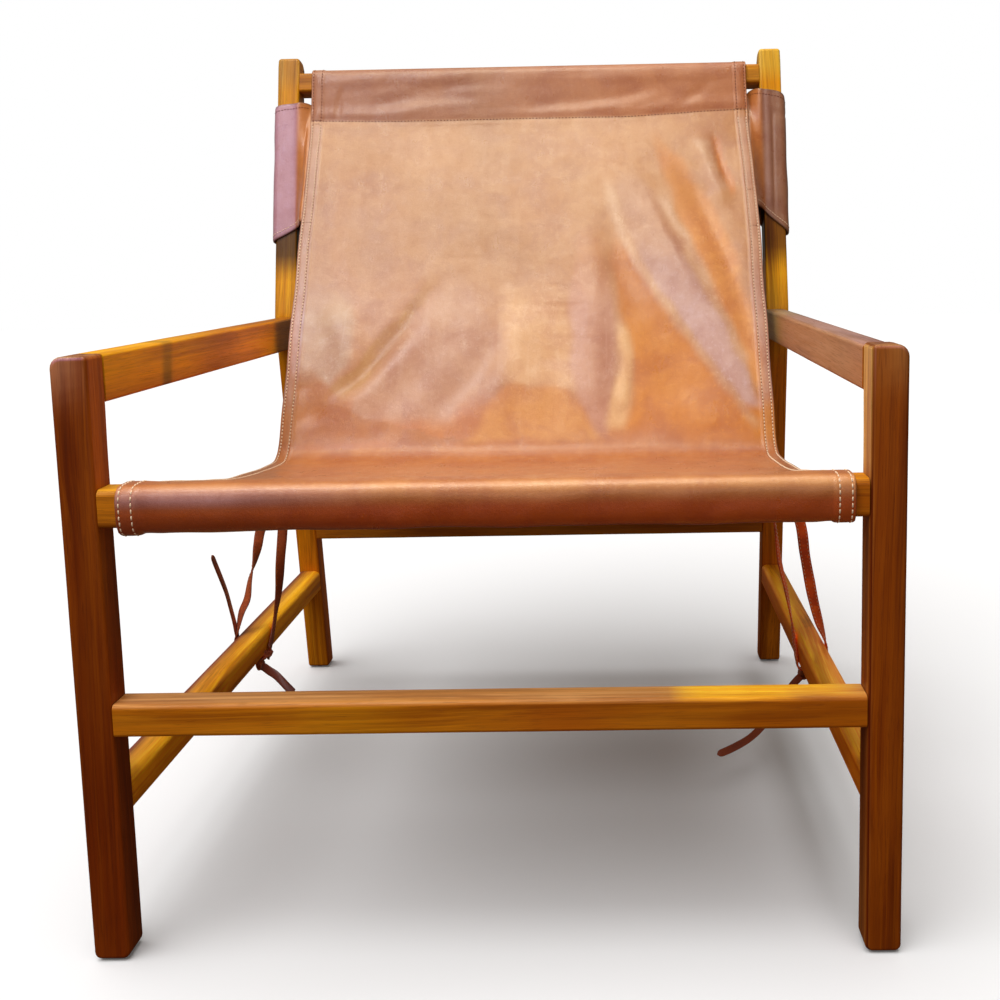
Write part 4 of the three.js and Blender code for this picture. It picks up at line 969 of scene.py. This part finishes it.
    # painted shade over the front of the sleeve round the front rail, below a painted highlight along its top edge
    front = ease((S_TOP_TUBE - 8 - S) / 12)
    c[:, :, :3] *= 1 + front[:, :, None] * (np.array((0.84, 0.37, 0.02)) - 1)
    shine = np.exp(-(((S - S_TOP_TUBE + 1) / 5.0) ** 2)) * (0.55 + 0.45 * ease((X + 240) / 140))
    c[:, :, :3] *= 1 + shine[:, :, None] * (np.array((1.40, 1.9, 3.0)) - 1)
    # its left part has a painted grey reflection above and deeper painted shade below
    left = ease((-X - 60) / 170) * (S < S_TOP_TUBE + 6)
    upper = left * np.exp(-(((S - S_TOP_TUBE + 13) / 8.0) ** 2))
    lower = left * ease((S_TOP_TUBE - 20 - S) / 8)
    c[:, :, :3] *= 1 + upper[:, :, None] * (np.array((0.80, 1.05, 4.5)) - 1)
    c[:, :, :3] *= 1 + lower[:, :, None] * (np.array((0.70, 0.66, 0.5)) - 1)
    c[:, :, :3] *= (1 - k)[:, :, None] * np.array([1, 1, 1])
    return c


tint = sling_tint()
# the flesh side keeps one even, slightly duller brown
under_tint = np.ones_like(tint)
under_tint[:, :, :3] = (0.84, 0.76, 0.66)
verts, faces = closed_sheet(TOP, BOT)
sling = make("sling_leather", verts, faces, LEATHER, ["sling"],
             points={"tint": np.vstack((tint.reshape(-1, 4), under_tint.reshape(-1, 4)))})


def on_sling(s, x, under=False):
    """Point and normal of the sling's skin at distance s along it and x across it."""
    fi = np.interp(s, SS, np.arange(len(SS)))
    if x > 0:
        x = x * SLING_HALF / float(np.interp(s, SS, EDGE_R))
    fj = np.interp(x, XX, np.arange(len(XX)))
    i0, j0 = min(int(fi), len(SS) - 2), min(int(fj), len(XX) - 2)
    a, b = fi - i0, fj - j0
    G = BOT if under else TOP
    mix = lambda A: (A[i0, j0] * (1 - a) * (1 - b) + A[i0 + 1, j0] * a * (1 - b) + A[i0, j0 + 1] * (1 - a) * b + A[i0 + 1, j0 + 1] * a * b)
    nrm = mix(NN)
    return mix(G), (-nrm if under else nrm) / np.linalg.norm(nrm)


def edge_x(s, e, side):
    """The place across the sling that is e from its left (-1) or right (1) edge."""
    return -SLING_HALF + e if side < 0 else float(np.interp(s, SS, EDGE_R)) - e


# ----------------------------------------------------------------- stitches
class Stitches:
    """Many short threads in one mesh: each rises out of the leather and goes back in."""

    def __init__(self):
        self.v, self.f, self.n = [], [], 0

    def one(self, p, along, up, length, r):
        along = along / np.linalg.norm(along)
        up = up - along * (up @ along)
        up /= np.linalg.norm(up)
        side = np.cross(along, up)
        rings = ((-0.5, 0.55, -0.5), (-0.36, 0.95, 0.15), (0.0, 1.0, 0.42), (0.36, 0.95, 0.15), (0.5, 0.55, -0.5))
        m = 6
        for a, k, h in rings:
            c = p + along * a * length + up * r * h
            for q in range(m):
                t = 2 * math.pi * q / m
                self.v.append(c + side * math.cos(t) * r * k * 1.1 + up * math.sin(t) * r * k)
        b = self.n
        for i in range(len(rings) - 1):
            for q in range(m):
                self.f.append((b + i * m + q, b + i * m + (q + 1) % m, b + (i + 1) * m + (q + 1) % m, b + (i + 1) * m + q))
        self.f.append(tuple(b + q for q in reversed(range(m))))
        self.f.append(tuple(b + (len(rings) - 1) * m + q for q in range(m)))
        self.n += len(rings) * m

    def row(self, pts, ups, pitch, length, r, seed=0):
        pts = np.asarray(pts)
        d = np.r_[0, np.cumsum(np.linalg.norm(np.diff(pts, axis=0), axis=1))]
        rr = np.random.RandomState(seed)
        at = np.arange(pitch / 2, d[-1], pitch)
        for a in at:
            a += rr.uniform(-0.08, 0.08) * pitch * 0.5
            f = lambda A, t: np.array([np.interp(t, d, A[:, k]) for k in range(3)])
            p, q0, q1 = f(pts, a), f(pts, max(0, a - 1)), f(pts, min(d[-1], a + 1))
            L = length * rr.uniform(0.92, 1.06)
            self.one(p, q1 - q0 + rr.uniform(-0.08, 0.08, 3), f(np.asarray(ups), a), L, r)


# the tan stitches use the thread in painted shade
pale, tan = Stitches(), Stitches()


def sling_row(where, s0, s1, e, side, pitch, length, r, seed):
    ss = np.arange(s0, s1, 2.0)
    got = [on_sling(s, edge_x(s, e(s) if callable(e) else e, side)) for s in ss]
    where.row([g[0] for g in got], [g[1] for g in got], pitch, length, r, seed)


r2 = lambda s: 13.6 + 1.6 * float(ease((np.interp(s, SS, line[:, 1]) - 760) / 60)) * (s > S_BACK)
for side in (-1, 1):
    sling_row(pale, S_TUBE - 22, S_TOP_TUBE + 18, ROW1, side, 5.4, 3.9, 0.60, 40 + side)
    sling_row(pale, S_TUBE - 22, S_TOP_TUBE + 18, r2, side, 5.4, 3.9, 0.60, 42 + side)
    sling_row(pale, S_TOP_TUBE + 20, S_HEM - 3, ROW1, side, 4.6, 3.0, 0.74, 44 + side)
    sling_row(pale, S_TOP_TUBE + 20, S_HEM - 3, r2, side, 4.6, 3.0, 0.74, 46 + side)
    # short shaded stitches between the pale ones: painted shade in the stitch holes
    sling_row(tan, S_TOP_TUBE + 22.3, S_HEM - 3, ROW1, side, 4.6, 1.0, 0.50, 144 + side)
    sling_row(tan, S_TOP_TUBE + 22.25, S_HEM - 3, r2, side, 4.6, 1.0, 0.50, 146 + side)
    sling_row(tan, S_HEM + 1, S_OVER + 30, ROW1, side, 4.6, 2.2, 0.60, 48 + side)
    sling_row(tan, S_HEM + 1, S_OVER + 30, r2, side, 4.6, 2.2, 0.60, 50 + side)


def cross_row(where, z_of_x, x0, x1, pitch, length, r, seed):
    back = [(line[k, 1], SS[k]) for k in range(len(SS)) if S_BACK <= SS[k] <= S_TURN]
    bz, bs = [b[0] for b in back], [b[1] for b in back]
    got = []
    for x in np.arange(x0, x1, 2.0):
        got.append(on_sling(float(np.interp(z_of_x(x), bz, bs)), x))
    where.row([g[0] for g in got], [g[1] for g in got], pitch, length, r, seed)


hem_z = lambda x: 801 + 7 * float(ease((x - 120) / 180)) + 2 * float(ease((-x - 200) / 100))
cross_row(tan, hem_z, -304, 304, 4.6, 2.1, 0.66, 60)
cross_row(tan, lambda x: hem_z(x) + 1.4, -304, -287, 3.6, 2.6, 0.38, 61)
cross_row(tan, lambda x: hem_z(x) + 1.4, 288, 304, 3.6, 2.6, 0.38, 62)
for z in (694, 645):
    cross_row(tan, lambda x, z=z: z, 297, 309, 3.6, 2.6, 0.38, 63 + z)
for z in (800, 662):
    cross_row(tan, lambda x, z=z: z - 1.5, -303, -290, 3.6, 2.6, 0.38, 65 + z)


# ------------------------------------------------ strips under the side hems
def edge_strip(name, side):
    s0, s1 = s_at(100, 412.6), s_at(670, 765, S_BACK)
    ss = np.arange(s0, s1, 5.0)
    es = np.array([1.2, 1.5, 2.4, 5, 8, 11, 14, 15.6, 16.0])
    if side > 0:
        es = es[::-1]
    P = np.zeros((len(ss), len(es), 3))
    Nn = np.zeros_like(P)
    for i, s in enumerate(ss):
        for j, e in enumerate(es):
            P[i, j], Nn[i, j] = on_sling(s, edge_x(s, e, side), True)
    thick = np.ones((len(ss), len(es)))
    thick[:, 0] = thick[:, -1] = 0.25
    thick[:, 1] = thick[:, -2] = 0.8
    thick[0] *= 0.3
    thick[-1] *= 0.3
    c = P + Nn * 1.05
    v, f = closed_sheet(c - Nn * (0.9 * thick)[:, :, None], c + Nn * (0.9 * thick)[:, :, None])
    t = np.ones((len(v), 4))
    t[:, :3] = 0.82
    ob = make(name, v, f, LEATHER, ["edge_strip_left" if side < 0 else "edge_strip_right"], points={"tint": t})
    return ob


strip_l = edge_strip("edge_strip_leather_left", -1)
strip_r = edge_strip("edge_strip_leather_right", 1)


# ------------------------------------- leather loops round the rear posts
def sling_y(z):
    return 459.5 + (np.asarray(z, float) - 385.6) * 0.5557


def loop(name, side):
    off_ = 7.2
    pf = post_front
    # the right loop sits a little higher and its lower edge runs flatter beside the sling
    r = 1.0 if side > 0 else 0.0
    corner = -359.6 if side < 0 else -360.6
    path = [
        (-289, lambda z: sling_y(z) + off_, 668 + 8 * r, 766),
        (-304.2, lambda z: sling_y(z) + off_, 664 + 10 * r, 770),
        (-306.3, lambda z: sling_y(z) + off_ - 0.2, 663 + 11 * r, 824 + 5 * r),
        (-309.0, lambda z: sling_y(z) + off_ - 0.8, 663 + 12 * r, 828 + 6 * r),
        (-312.2, lambda z: sling_y(z) * 0.75 + (pf(z) - 4.0) * 0.25 + off_ * 0.75, 661 + 13 * r, 830 + 6.5 * r),
        (-316.5, lambda z: sling_y(z) * 0.4 + (pf(z) - 4.0) * 0.6 + off_ * 0.4, 659 + 14 * r, 831 + 7 * r),
        (-323.5, lambda z: pf(z) - 4.4, 656 + 13 * r, 831 + 7 * r),
        (-330, lambda z: pf(z) - 2.6, 652 + 10 * r, 830 + 7 * r),
        (-345, lambda z: pf(z) - 2.3, 644 + 5 * r, 829 + 6 * r),
        (-353.5, lambda z: pf(z) - 2.2, 640 + 2 * r, 827 + 5 * r),
        (-357.4, lambda z: pf(z) + 0.6, 637, 825 + 4 * r),
        (corner + 1.6, lambda z: pf(z) + 8, 635, 822 + 3 * r),
        (corner + 1.6, lambda z: pf(z) + POST_D - 6, 633, 819 + 2 * r),
        (-356.4, lambda z: pf(z) + POST_D + 1.2, 633, 818 + r),
        (-351, lambda z: pf(z) + POST_D + 2.3, 635, 818),
        (-338, lambda z: pf(z) + POST_D + 2.1, 640, 819),
        (-327, lambda z: pf(z) + POST_D + 2.1, 645, 820),
        (-321.4, lambda z: pf(z) + POST_D - 1.6, 650, 822),
        (-309.6, lambda z: sling_y(z) + off_ + 4.4, 663, 822),
        (-305.2, lambda z: sling_y(z) + off_ + 2.9, 664, 770),
        (-289, lambda z: sling_y(z) + off_ + 2.9, 668, 766),
    ]
    levels = 40
    vv = np.r_[0, 0.006, np.linspace(0.018, 0.982, levels), 0.994, 1]
    at_level = lambda v: [[x, float(y(z0 + (z1 - z0) * v)), z0 + (z1 - z0) * v] for x, y, z0, z1 in path]
    centre = [q[:2] for q in at_level(0.5)]
    knots = spline_knots(centre)
    fine_u = np.linspace(0, knots[-1], 2000)
    run = spline_at(centre, knots, fine_u)
    dist_ = np.r_[0, np.cumsum(np.linalg.norm(np.diff(run, axis=0), axis=1))]
    uu = np.interp(np.linspace(0, dist_[-1], 110), dist_, fine_u)
    rows = [spline_at(at_level(v), knots, uu) for v in vv]
    P = np.array(rows)  # levels by stations
    V, U = np.meshgrid(vv, np.linspace(0, 1, P.shape[1]), indexing="ij")
    # distances in millimetres from the left wing's outline
    x = P[:, :, 0]
    front = (U < 0.5).astype(float)
    N0 = grid_normals(P)
    if N0[len(vv) // 2, 40, 1] > 0:
        N0 = -N0
    z = P[:, :, 2]
    d = np.zeros_like(x)
    d += 0.35 * waves(U * 200, z, 70, 7, 31 + side)
    d += 0.12 * waves(U * 200, z, 18, 10, 33 + side) * ease((x + 326) / 14) * front
    if side < 0:
        d += front * (-1.3 * np.exp(-(((x + 313.5) / 2.2) ** 2)) * ease((808 - z) / 20) * ease((z - 690) / 40))
        for k in range(5):
            d += front * 0.55 * np.exp(-(((x + 306 + 3.3 * k - 0.22 * (z - 815)) / 1.1) ** 2)) * ease((z - 790) / 18)
        d -= front * 0.8 * np.exp(-(((z - 793 - 0.10 * (x + 340)) / 1.6) ** 2)) * ease((-326 - x) / 8)
    else:
        d -= front * 1.5 * np.exp(-(((x + 340 + 0.01 * (z - 740)) / 2.2) ** 2)) * ease((z - 650) / 30) * ease((806 - z) / 8)
        d -= front * 1.2 * np.exp(-(((z - 803 - 0.25 * (x + 345)) / 2.0) ** 2)) * ease((-334 - x) / 5)
        d += front * 0.9 * np.exp(-(((x + 334) / 4.0) ** 2)) * ease((z - 660) / 30)
    P = P + N0 * d[:, :, None]
    Nn = grid_normals(P)
    if Nn[len(vv) // 2, 40, 1] > 0:
        Nn = -Nn
    th = np.ones_like(x)
    th[0] = th[-1] = 0.3
    th[1] = th[-2] = 0.75
    th[:, 0] *= 0.3
    th[:, -1] *= 0.3
    A, B = P + Nn * (1.15 * th)[:, :, None], P - Nn * (1.15 * th)[:, :, None]
    if side > 0:
        A[:, :, 0] *= -1
        B[:, :, 0] *= -1
        Nn[:, :, 0] *= -1
    v, f = closed_sheet(A, B)
    t = np.ones((len(v), 4))
    edge_dark = 1 - 0.30 * (np.minimum(V, 1 - V) < 0.01) - 0.10 * ease((0.03 - np.minimum(V, 1 - V)) / 0.02)
    t[:, :3] = np.r_[edge_dark.ravel(), edge_dark.ravel()][:, None]
    # painted light: a painted mauve reflection on the left loop's flat front, painted shade on the right loop's
    flat_part = ease((-321 - x) / 8)
    hue = np.array((0.96, 1.46, 8.0)) if side < 0 else np.array((0.58, 0.72, 1.6))
    k = np.r_[flat_part.ravel(), flat_part.ravel()][:, None]
    t[:, :3] *= 1 + k * (hue - 1)
    # a painted highlight along the right loop's fold
    if side > 0:
        near = np.exp(-(((x + 331) / 6.0) ** 2))
        k = np.r_[near.ravel(), near.ravel()][:, None]
        t[:, :3] *= 1 + k * (np.array((1.15, 1.35, 2.0)) - 1)
    ob = make(name, v, f, LEATHER, ["post_loop_left" if side < 0 else "post_loop_right"], points={"tint": t})
    # a row of stitches along the top and bottom edges
    for lev, sd in ((3, 1), (len(vv) - 4, 2)):
        where = pale if lev == 3 else tan
        where.row(A[lev, 18:-32], Nn[lev, 18:-32], 4.2, 2.9, 0.45, 80 + sd + side)
    length = float(np.linalg.norm(np.diff(P[len(vv) // 2], axis=0), axis=1).sum()) / 1000
    height = float(np.mean(np.linalg.norm(np.diff(P, axis=0), axis=2).sum(0))) / 1000
    return ob, length, height


loop_l, len_l, h_l = loop("post_loop_leather_left", -1)
loop_r, len_r, h_r = loop("post_loop_leather_right", 1)


# --------------------------------------------------------------- tie straps
def ribbon(name, rows, w, t, nodes, step=2.5, tip=0.0, taper=None, twist=0.0, tint=(1, 1, 1), seed=0):
    """A leather strap along rows of [x, y, z, side]; a row without a side keeps the last one."""
    full, last = [], (1.0, 0.0, 0.0)
    for r in rows:
        if len(r) > 3:
            last = r[3]
        full.append([r[0], r[1], r[2], *last])
    q, d = spline(full, step, 3)
    P, Sd = q[:, :3], q[:, 3:]
    T = np.gradient(P, axis=0)
    T /= np.linalg.norm(T, axis=1, keepdims=True)
    Sd = Sd - T * (Sd * T).sum(1, keepdims=True)
    Sd /= np.linalg.norm(Sd, axis=1, keepdims=True)
    Nr = np.cross(T, Sd)
    half = np.full(len(P), w / 2)
    left = d[-1] - d
    if tip:
        half *= np.sqrt(np.clip(1 - np.clip(1 - left / tip, 0, 1) ** 2, 0.02, 1))
    if taper:
        half *= np.interp(d / d[-1], taper[0], taper[1])
    r = np.random.RandomState(seed)
    half *= 1 + 0.03 * np.sin(d / 9 + r.uniform(0, 6))
    cup = 0.35 * np.sin(d / 23 + r.uniform(0, 6))
    prof = [(-1, 0), (-0.965, -0.72), (-0.88, -1), (-0.45, -1), (0, -1), (0.45, -1), (0.88, -1), (0.965, -0.72),
            (1, 0), (0.965, 0.72), (0.88, 1), (0.45, 1), (0, 1), (-0.45, 1), (-0.88, 1), (-0.965, 0.72)]
    m = len(prof)
    v = []
    for i in range(len(P)):
        e = min(1.0, 0.35 + min(d[i], left[i]) / 1.2)
        for a, b in prof:
            v.append(P[i] + Sd[i] * a * half[i] + Nr[i] * (b * t / 2 * e + cup[i] * (a * a - 0.4)))
    f = []
    for i in range(len(P) - 1):
        for k in range(m):
            f.append((i * m + k, i * m + (k + 1) % m, (i + 1) * m + (k + 1) % m, (i + 1) * m + k))
    f.append(tuple(reversed(range(m))))
    f.append(tuple((len(P) - 1) * m + k for k in range(m)))
    c = np.ones((len(v), 4))
    c[:, :3] = tint
    edgy = np.array([0.65 if abs(a) > 0.95 else 1 for a, b in prof] * len(P))
    c[:, :3] *= edgy[:, None]
    ob = make(name, v, f, STRAP, nodes, points={"tint": c})
    return ob, P, Sd, Nr, half, float(d[-1])


LEFT = [[-297, 402, 361.9, (1, 0, 0)], [-297, 412, 361.6], [-297, 425, 361.3], [-297.5, 436, 360.2], [-298.5, 442.5, 355.5], [-303, 444, 345], [-317, 444, 308],
        [-329.6, 443, 277.4, (.95, .3, 0)], [-332.3, 440, 261.7, (.75, .66, 0)], [-335.7, 436, 243.9, (.2, .98, 0)],
        [-340.7, 428, 220.9, (-.55, .83, 0)], [-343.2, 420, 198, (-.8, .6, 0)], [-348.6, 415, 184.5, (-.75, .66, 0)],
        [-353.5, 411, 163.1, (-.4, .92, 0)], [-355.8, 411, 152, (0, 1, 0)], [-355.8, 411, 131], [-354.8, 411, 125.2], [-350, 411, 123.6],
        [-341, 411, 123.5], [-329, 411, 123.6], [-324.3, 412, 125.2], [-322.8, 425, 128, (0, .9, .4)], [-322.6, 440, 137, (0, .9, .35)],
        [-322.6, 452, 150, (0, 1, .1)], [-321.2, 458, 165, (0, 1, 0)], [-314, 455, 199.7, (.45, .89, 0)], [-308.9, 452, 239.1, (.8, .6, 0)],
        [-304.5, 452, 274.8, (1, 0, 0)], [-300.5, 452, 320], [-298, 449, 345], [-297.6, 449, 354], [-297, 450, 362.5], [-297, 453.1, 371],
        [-297, 462.6, 384], [-297, 469.6, 396.5], [-297, 476.6, 409]]
RIGHT = [[297, 306, 369.4, (1, 0, 0)], [297, 318, 368.2], [297, 327, 367.0], [297.6, 334, 363.8], [300, 337.3, 356], [307, 337.5, 342], [321.9, 338, 303.7],
         [328, 342, 266.3, (1, .1, 0)], [333.4, 346, 238], [339.4, 350, 209.3, (.97, .2, 0)], [346, 353, 184.2, (.8, .55, 0)],
         [353.4, 356, 163, (.3, .95, 0)], [355.8, 357, 152, (0, 1, 0)], [355.8, 357, 131], [354.8, 357, 125.2], [350, 357, 123.6],
         [341, 357, 123.5], [329, 357, 123.6], [324.3, 358, 125.2], [322.9, 365, 131.9, (0, 1, .1)], [322.9, 378, 143, (0, 1, .2)],
         [322.8, 395, 161, (0, 1, .2)], [319.2, 425, 198.8, (.35, .94, 0)], [313.4, 440, 232.4, (.45, .9, 0)],
         [309, 448, 276.7, (.25, .97, 0)], [303, 451, 320, (.6, .8, 0)], [298, 449, 345, (1, 0, 0)], [297.6, 449, 354], [297, 450, 362.5], [297, 453.1, 371],
         [297, 462.6, 384], [297, 469.6, 396.5], [297, 476.6, 409]]
strap_l, PL, SL, NL, HL, len_sl = ribbon("tie_strap_leather_left", LEFT, 12.2, 2.0, ["tie_strap_left"], tint=(1.1, 0.95, 0.5), seed=2)
strap_r, PR, SR, NR, HR, len_sr = ribbon("tie_strap_leather_right", RIGHT, 12.2, 2.0, ["tie_strap_right"], tint=(2.6, 1.7, 0.2), seed=5)
for P, Sd, Nr, H, sgn in ((PL, SL, NL, HL, 1), (PR, SR, NR, HR, 1)):
    for e in (-1, 1):
        for face in (-1, 1):
            keep = slice(10, len(P) - 14)
            where = tan if P is PL else pale
            where.row((P + Sd * (e * (H - 1.9))[:, None] + Nr * face * 0.98)[keep], (Nr * face)[keep], 4.6, 2.4, 0.30, 90 + e + face)

tails = {}
tails["upper_left"] = ribbon("strap_end_leather_left_upper", [
    [-356.6, 418, 150, (0, 1, 0)], [-356.8, 414, 160], [-357.2, 411, 172], [-358.1, 404, 192], [-359.2, 396, 214],
    [-360.6, 384, 236, (0.1, 1, 0)], [-361.2, 372, 254], [-361.2, 360, 270.6]], 9.6, 1.9, ["strap_end_left_upper"],
    tip=9, taper=([0, 0.8, 1], [1, 0.8, 0.7]), seed=7)
tails["lower_left"] = ribbon("strap_end_leather_left_lower", [
    [-324.4, 404, 119.0, (0, .5, .87)], [-319.5, 400, 118.6], [-312.6, 395, 116.2], [-304, 391, 112.6], [-296.5, 387, 107.4], [-288, 383, 100.4], [-279.4, 379.4, 93.2]],
    9.6, 1.9, ["strap_end_left_lower"], tip=3, tint=(0.38, 0.22, 0.06), seed=9)
tails["lower_right"] = ribbon("strap_end_leather_right_lower", [
    [324.6, 346, 119.5, (0, .5, .87)], [316.5, 342, 113.0], [303, 336, 98], [288, 329, 81], [273, 322, 65.6], [260, 315, 57.6],
    [248.8, 310, 53.2], [235, 305, 48.6], [222.6, 301, 45.6]],
    8.2, 1.9, ["strap_end_right_lower"], tip=6, tint=(0.66, 0.43, 0.12), seed=11)
for key, rest in (("upper_left", "side_stretcher_left"), ("lower_left", "side_stretcher_left"), ("lower_right", "side_stretcher_right")):
    ob, P_, S_, N_, H_, L_ = tails[key]
    area = float((H_[:-1] * 2 * np.diff(np.linspace(0, L_, len(P_)))).sum()) / 1e6


def knot(name, centre, node, seed):
    """Two turns of strap drawn round each other."""
    cx, cy, cz = centre
    v, f = [], []
    r = np.random.RandomState(seed)
    base = 0
    for turn_, (rx, rz, tilt, wid, ox, oy) in enumerate(((5.6, 4.6, 0.25, 8.6, 0, 0.5), (5.0, 5.4, -0.55, 7.0, 0.8, -2.6), (4.6, 4.0, 1.1, 6.0, -0.6, 2.6))):
        n, prof = 36, [(-1, 0), (-0.9, 0.8), (-0.4, 1), (0, 1), (0.4, 1), (0.9, 0.8), (1, 0), (0.9, -0.8), (0, -1), (-0.9, -0.8)]
        m = len(prof)
        for i in range(n):
            t = 2 * math.pi * i / n
            wob = 1 + 0.06 * math.sin(3 * t + seed + turn_)
            c = np.array([rx * wob * math.cos(t), 0.0, rz * wob * math.sin(t)])
            nrm = np.array([math.cos(t), 0.0, math.sin(t)])
            ax = np.array([0.0, 1.0, 0.0])
            for a, b in prof:
                p = c + ax * a * wid / 2 + nrm * b * 1.0
                # tilt about the z axis
                x_, y_ = p[0] * math.cos(tilt) - p[1] * math.sin(tilt), p[0] * math.sin(tilt) + p[1] * math.cos(tilt)
                v.append([cx + x_ * 0.8 + ox, cy + y_ + oy, cz + p[2]])
        for i in range(n):
            for k in range(m):
                a0, a1 = base + i * m + k, base + i * m + (k + 1) % m
                b0, b1 = base + ((i + 1) % n) * m + k, base + ((i + 1) % n) * m + (k + 1) % m
                f.append((a0, a1, b1, b0))
        base += n * m
    c = np.ones((len(v), 4))
    return make(name, v, f, STRAP, [node], points={"tint": c})


knot("tie_knot_leather_left", (-328.5, 411, 118.5), "tie_knot_left", 1)
knot("tie_knot_leather_right", (328.5, 357, 118.5), "tie_knot_right", 2)

pale_ob = make("stitching_pale", pale.v, pale.f, THREAD, recalc=True)
tan_ob = make("stitching_tan", tan.v, tan.f, THREAD_SHADED, recalc=True)

# ------------------------------------------------------- floor, light, world
me = bpy.data.meshes.new("floor")
me.from_pydata([(-9, -9, 0), (9, -9, 0), (9, 9, 0), (-9, 9, 0)], [], [(0, 1, 2, 3)])
floor = bpy.data.objects.new("floor", me)
scene.collection.objects.link(floor)
n = Nodes("floor")
n.t.nodes.remove(n.bsdf)
seen = n.new("ShaderNodeLightPath").outputs["Is Camera Ray"]
bright, dim = n.new("ShaderNodeBsdfDiffuse"), n.new("ShaderNodeBsdfDiffuse")
bright.inputs[0].default_value = (0.86, 0.86, 0.87, 1)
glow, bright_sum = n.new("ShaderNodeEmission"), n.new("ShaderNodeAddShader")
glow.inputs[0].default_value = (1, 1, 1, 1)
glow.inputs[1].default_value = 0.06
n.link(bright.outputs[0], bright_sum.inputs[0])
n.link(glow.outputs[0], bright_sum.inputs[1])
dim.inputs[0].default_value = (0.11, 0.065, 0.035, 1)
mixer = n.new("ShaderNodeMixShader")
n.link(seen, mixer.inputs[0])
n.link(dim.outputs[0], mixer.inputs[1])
n.link(bright_sum.outputs[0], mixer.inputs[2])
n.link(mixer.outputs[0], n.out.inputs[0])
me.materials.append(n.mat)

w = bpy.data.worlds.new("studio")
scene.world = w
w.use_nodes = True
wt = w.node_tree
wt.nodes.clear()
wo = wt.nodes.new("ShaderNodeOutputWorld")
lp = wt.nodes.new("ShaderNodeLightPath")
b1, b2 = wt.nodes.new("ShaderNodeBackground"), wt.nodes.new("ShaderNodeBackground")
b1.inputs[0].default_value = (1.0, 0.90, 0.76, 1)
b1.inputs[1].default_value = 0.18
b2.inputs[0].default_value = (1, 1, 1, 1)
b2.inputs[1].default_value = 1.0
ms = wt.nodes.new("ShaderNodeMixShader")
wt.links.new(lp.outputs["Is Camera Ray"], ms.inputs[0])
wt.links.new(b1.outputs[0], ms.inputs[1])
wt.links.new(b2.outputs[0], ms.inputs[2])
wt.links.new(ms.outputs[0], wo.inputs[0])


def area(name, at, to, sx, sy, power, color):
    l = bpy.data.lights.new(name, "AREA")
    l.shape = "RECTANGLE"
    l.size, l.size_y = sx, sy
    l.energy = power
    l.color = color
    o = bpy.data.objects.new(name, l)
    o.location = at
    o.rotation_euler = (Vector(to) - Vector(at)).to_track_quat("-Z", "Y").to_euler()
    scene.collection.objects.link(o)
    return o


def watts(radiance, sx, sy):
    return radiance * math.pi * sx * sy


warm, cool, neutral = (1.0, 0.92, 0.72), (0.86, 0.90, 1.0), (1.0, 0.97, 0.93)
lamps = [
    area("key_warm", (-0.10, -0.70, 2.6), (-0.10, -0.70, 0), 0.90, 1.10, watts(8.8, 0.90, 1.10), warm),
    area("key_warm_left", (-0.88, -0.52, 2.6), (-0.88, -0.52, 0), 0.62, 0.80, watts(6.2, 0.62, 0.80), warm),
    area("key_cool", (-0.88, -1.26, 2.6), (-0.88, -1.26, 0), 0.62, 0.66, watts(10.0, 0.62, 0.66), cool),
    area("window_cool", (-1.35, -2.2, 2.1), (0, 0.1, 0.6), 1.0, 0.8, watts(4.5, 1.0, 0.8), cool),
    area("overhead", (0.0, 0.5, 3.0), (0.0, 0.2, 0), 2.0, 1.2, 16, neutral),
    area("front_fill", (0.2, -3.2, 1.2), (0, 0, 0.45), 2.4, 1.2, 9, neutral),
]
# the floor has its own broad light, so that it is evenly pale out to the horizon
sun = bpy.data.lights.new("floor_light", "SUN")
sun.energy = 3.35
sun.angle = 1.2
sun_ob = bpy.data.objects.new("floor_light", sun)
sun_ob.rotation_euler = (Vector((0.26, 0.24, 0)) - Vector((0, 0, 1))).to_track_quat("-Z", "Y").to_euler()
scene.collection.objects.link(sun_ob)
only_floor = bpy.data.collections.new("lit_by_floor_light")
only_floor.objects.link(floor)
sun_ob.light_linking.receiver_collection = only_floor
for lamp in lamps:
    no_floor = bpy.data.collections.new("lit_by_" + lamp.name)
    no_floor.objects.link(floor)
    no_floor.collection_objects[0].light_linking.link_state = "EXCLUDE"
    lamp.light_linking.receiver_collection = no_floor

scene.view_settings.view_transform = "Standard"
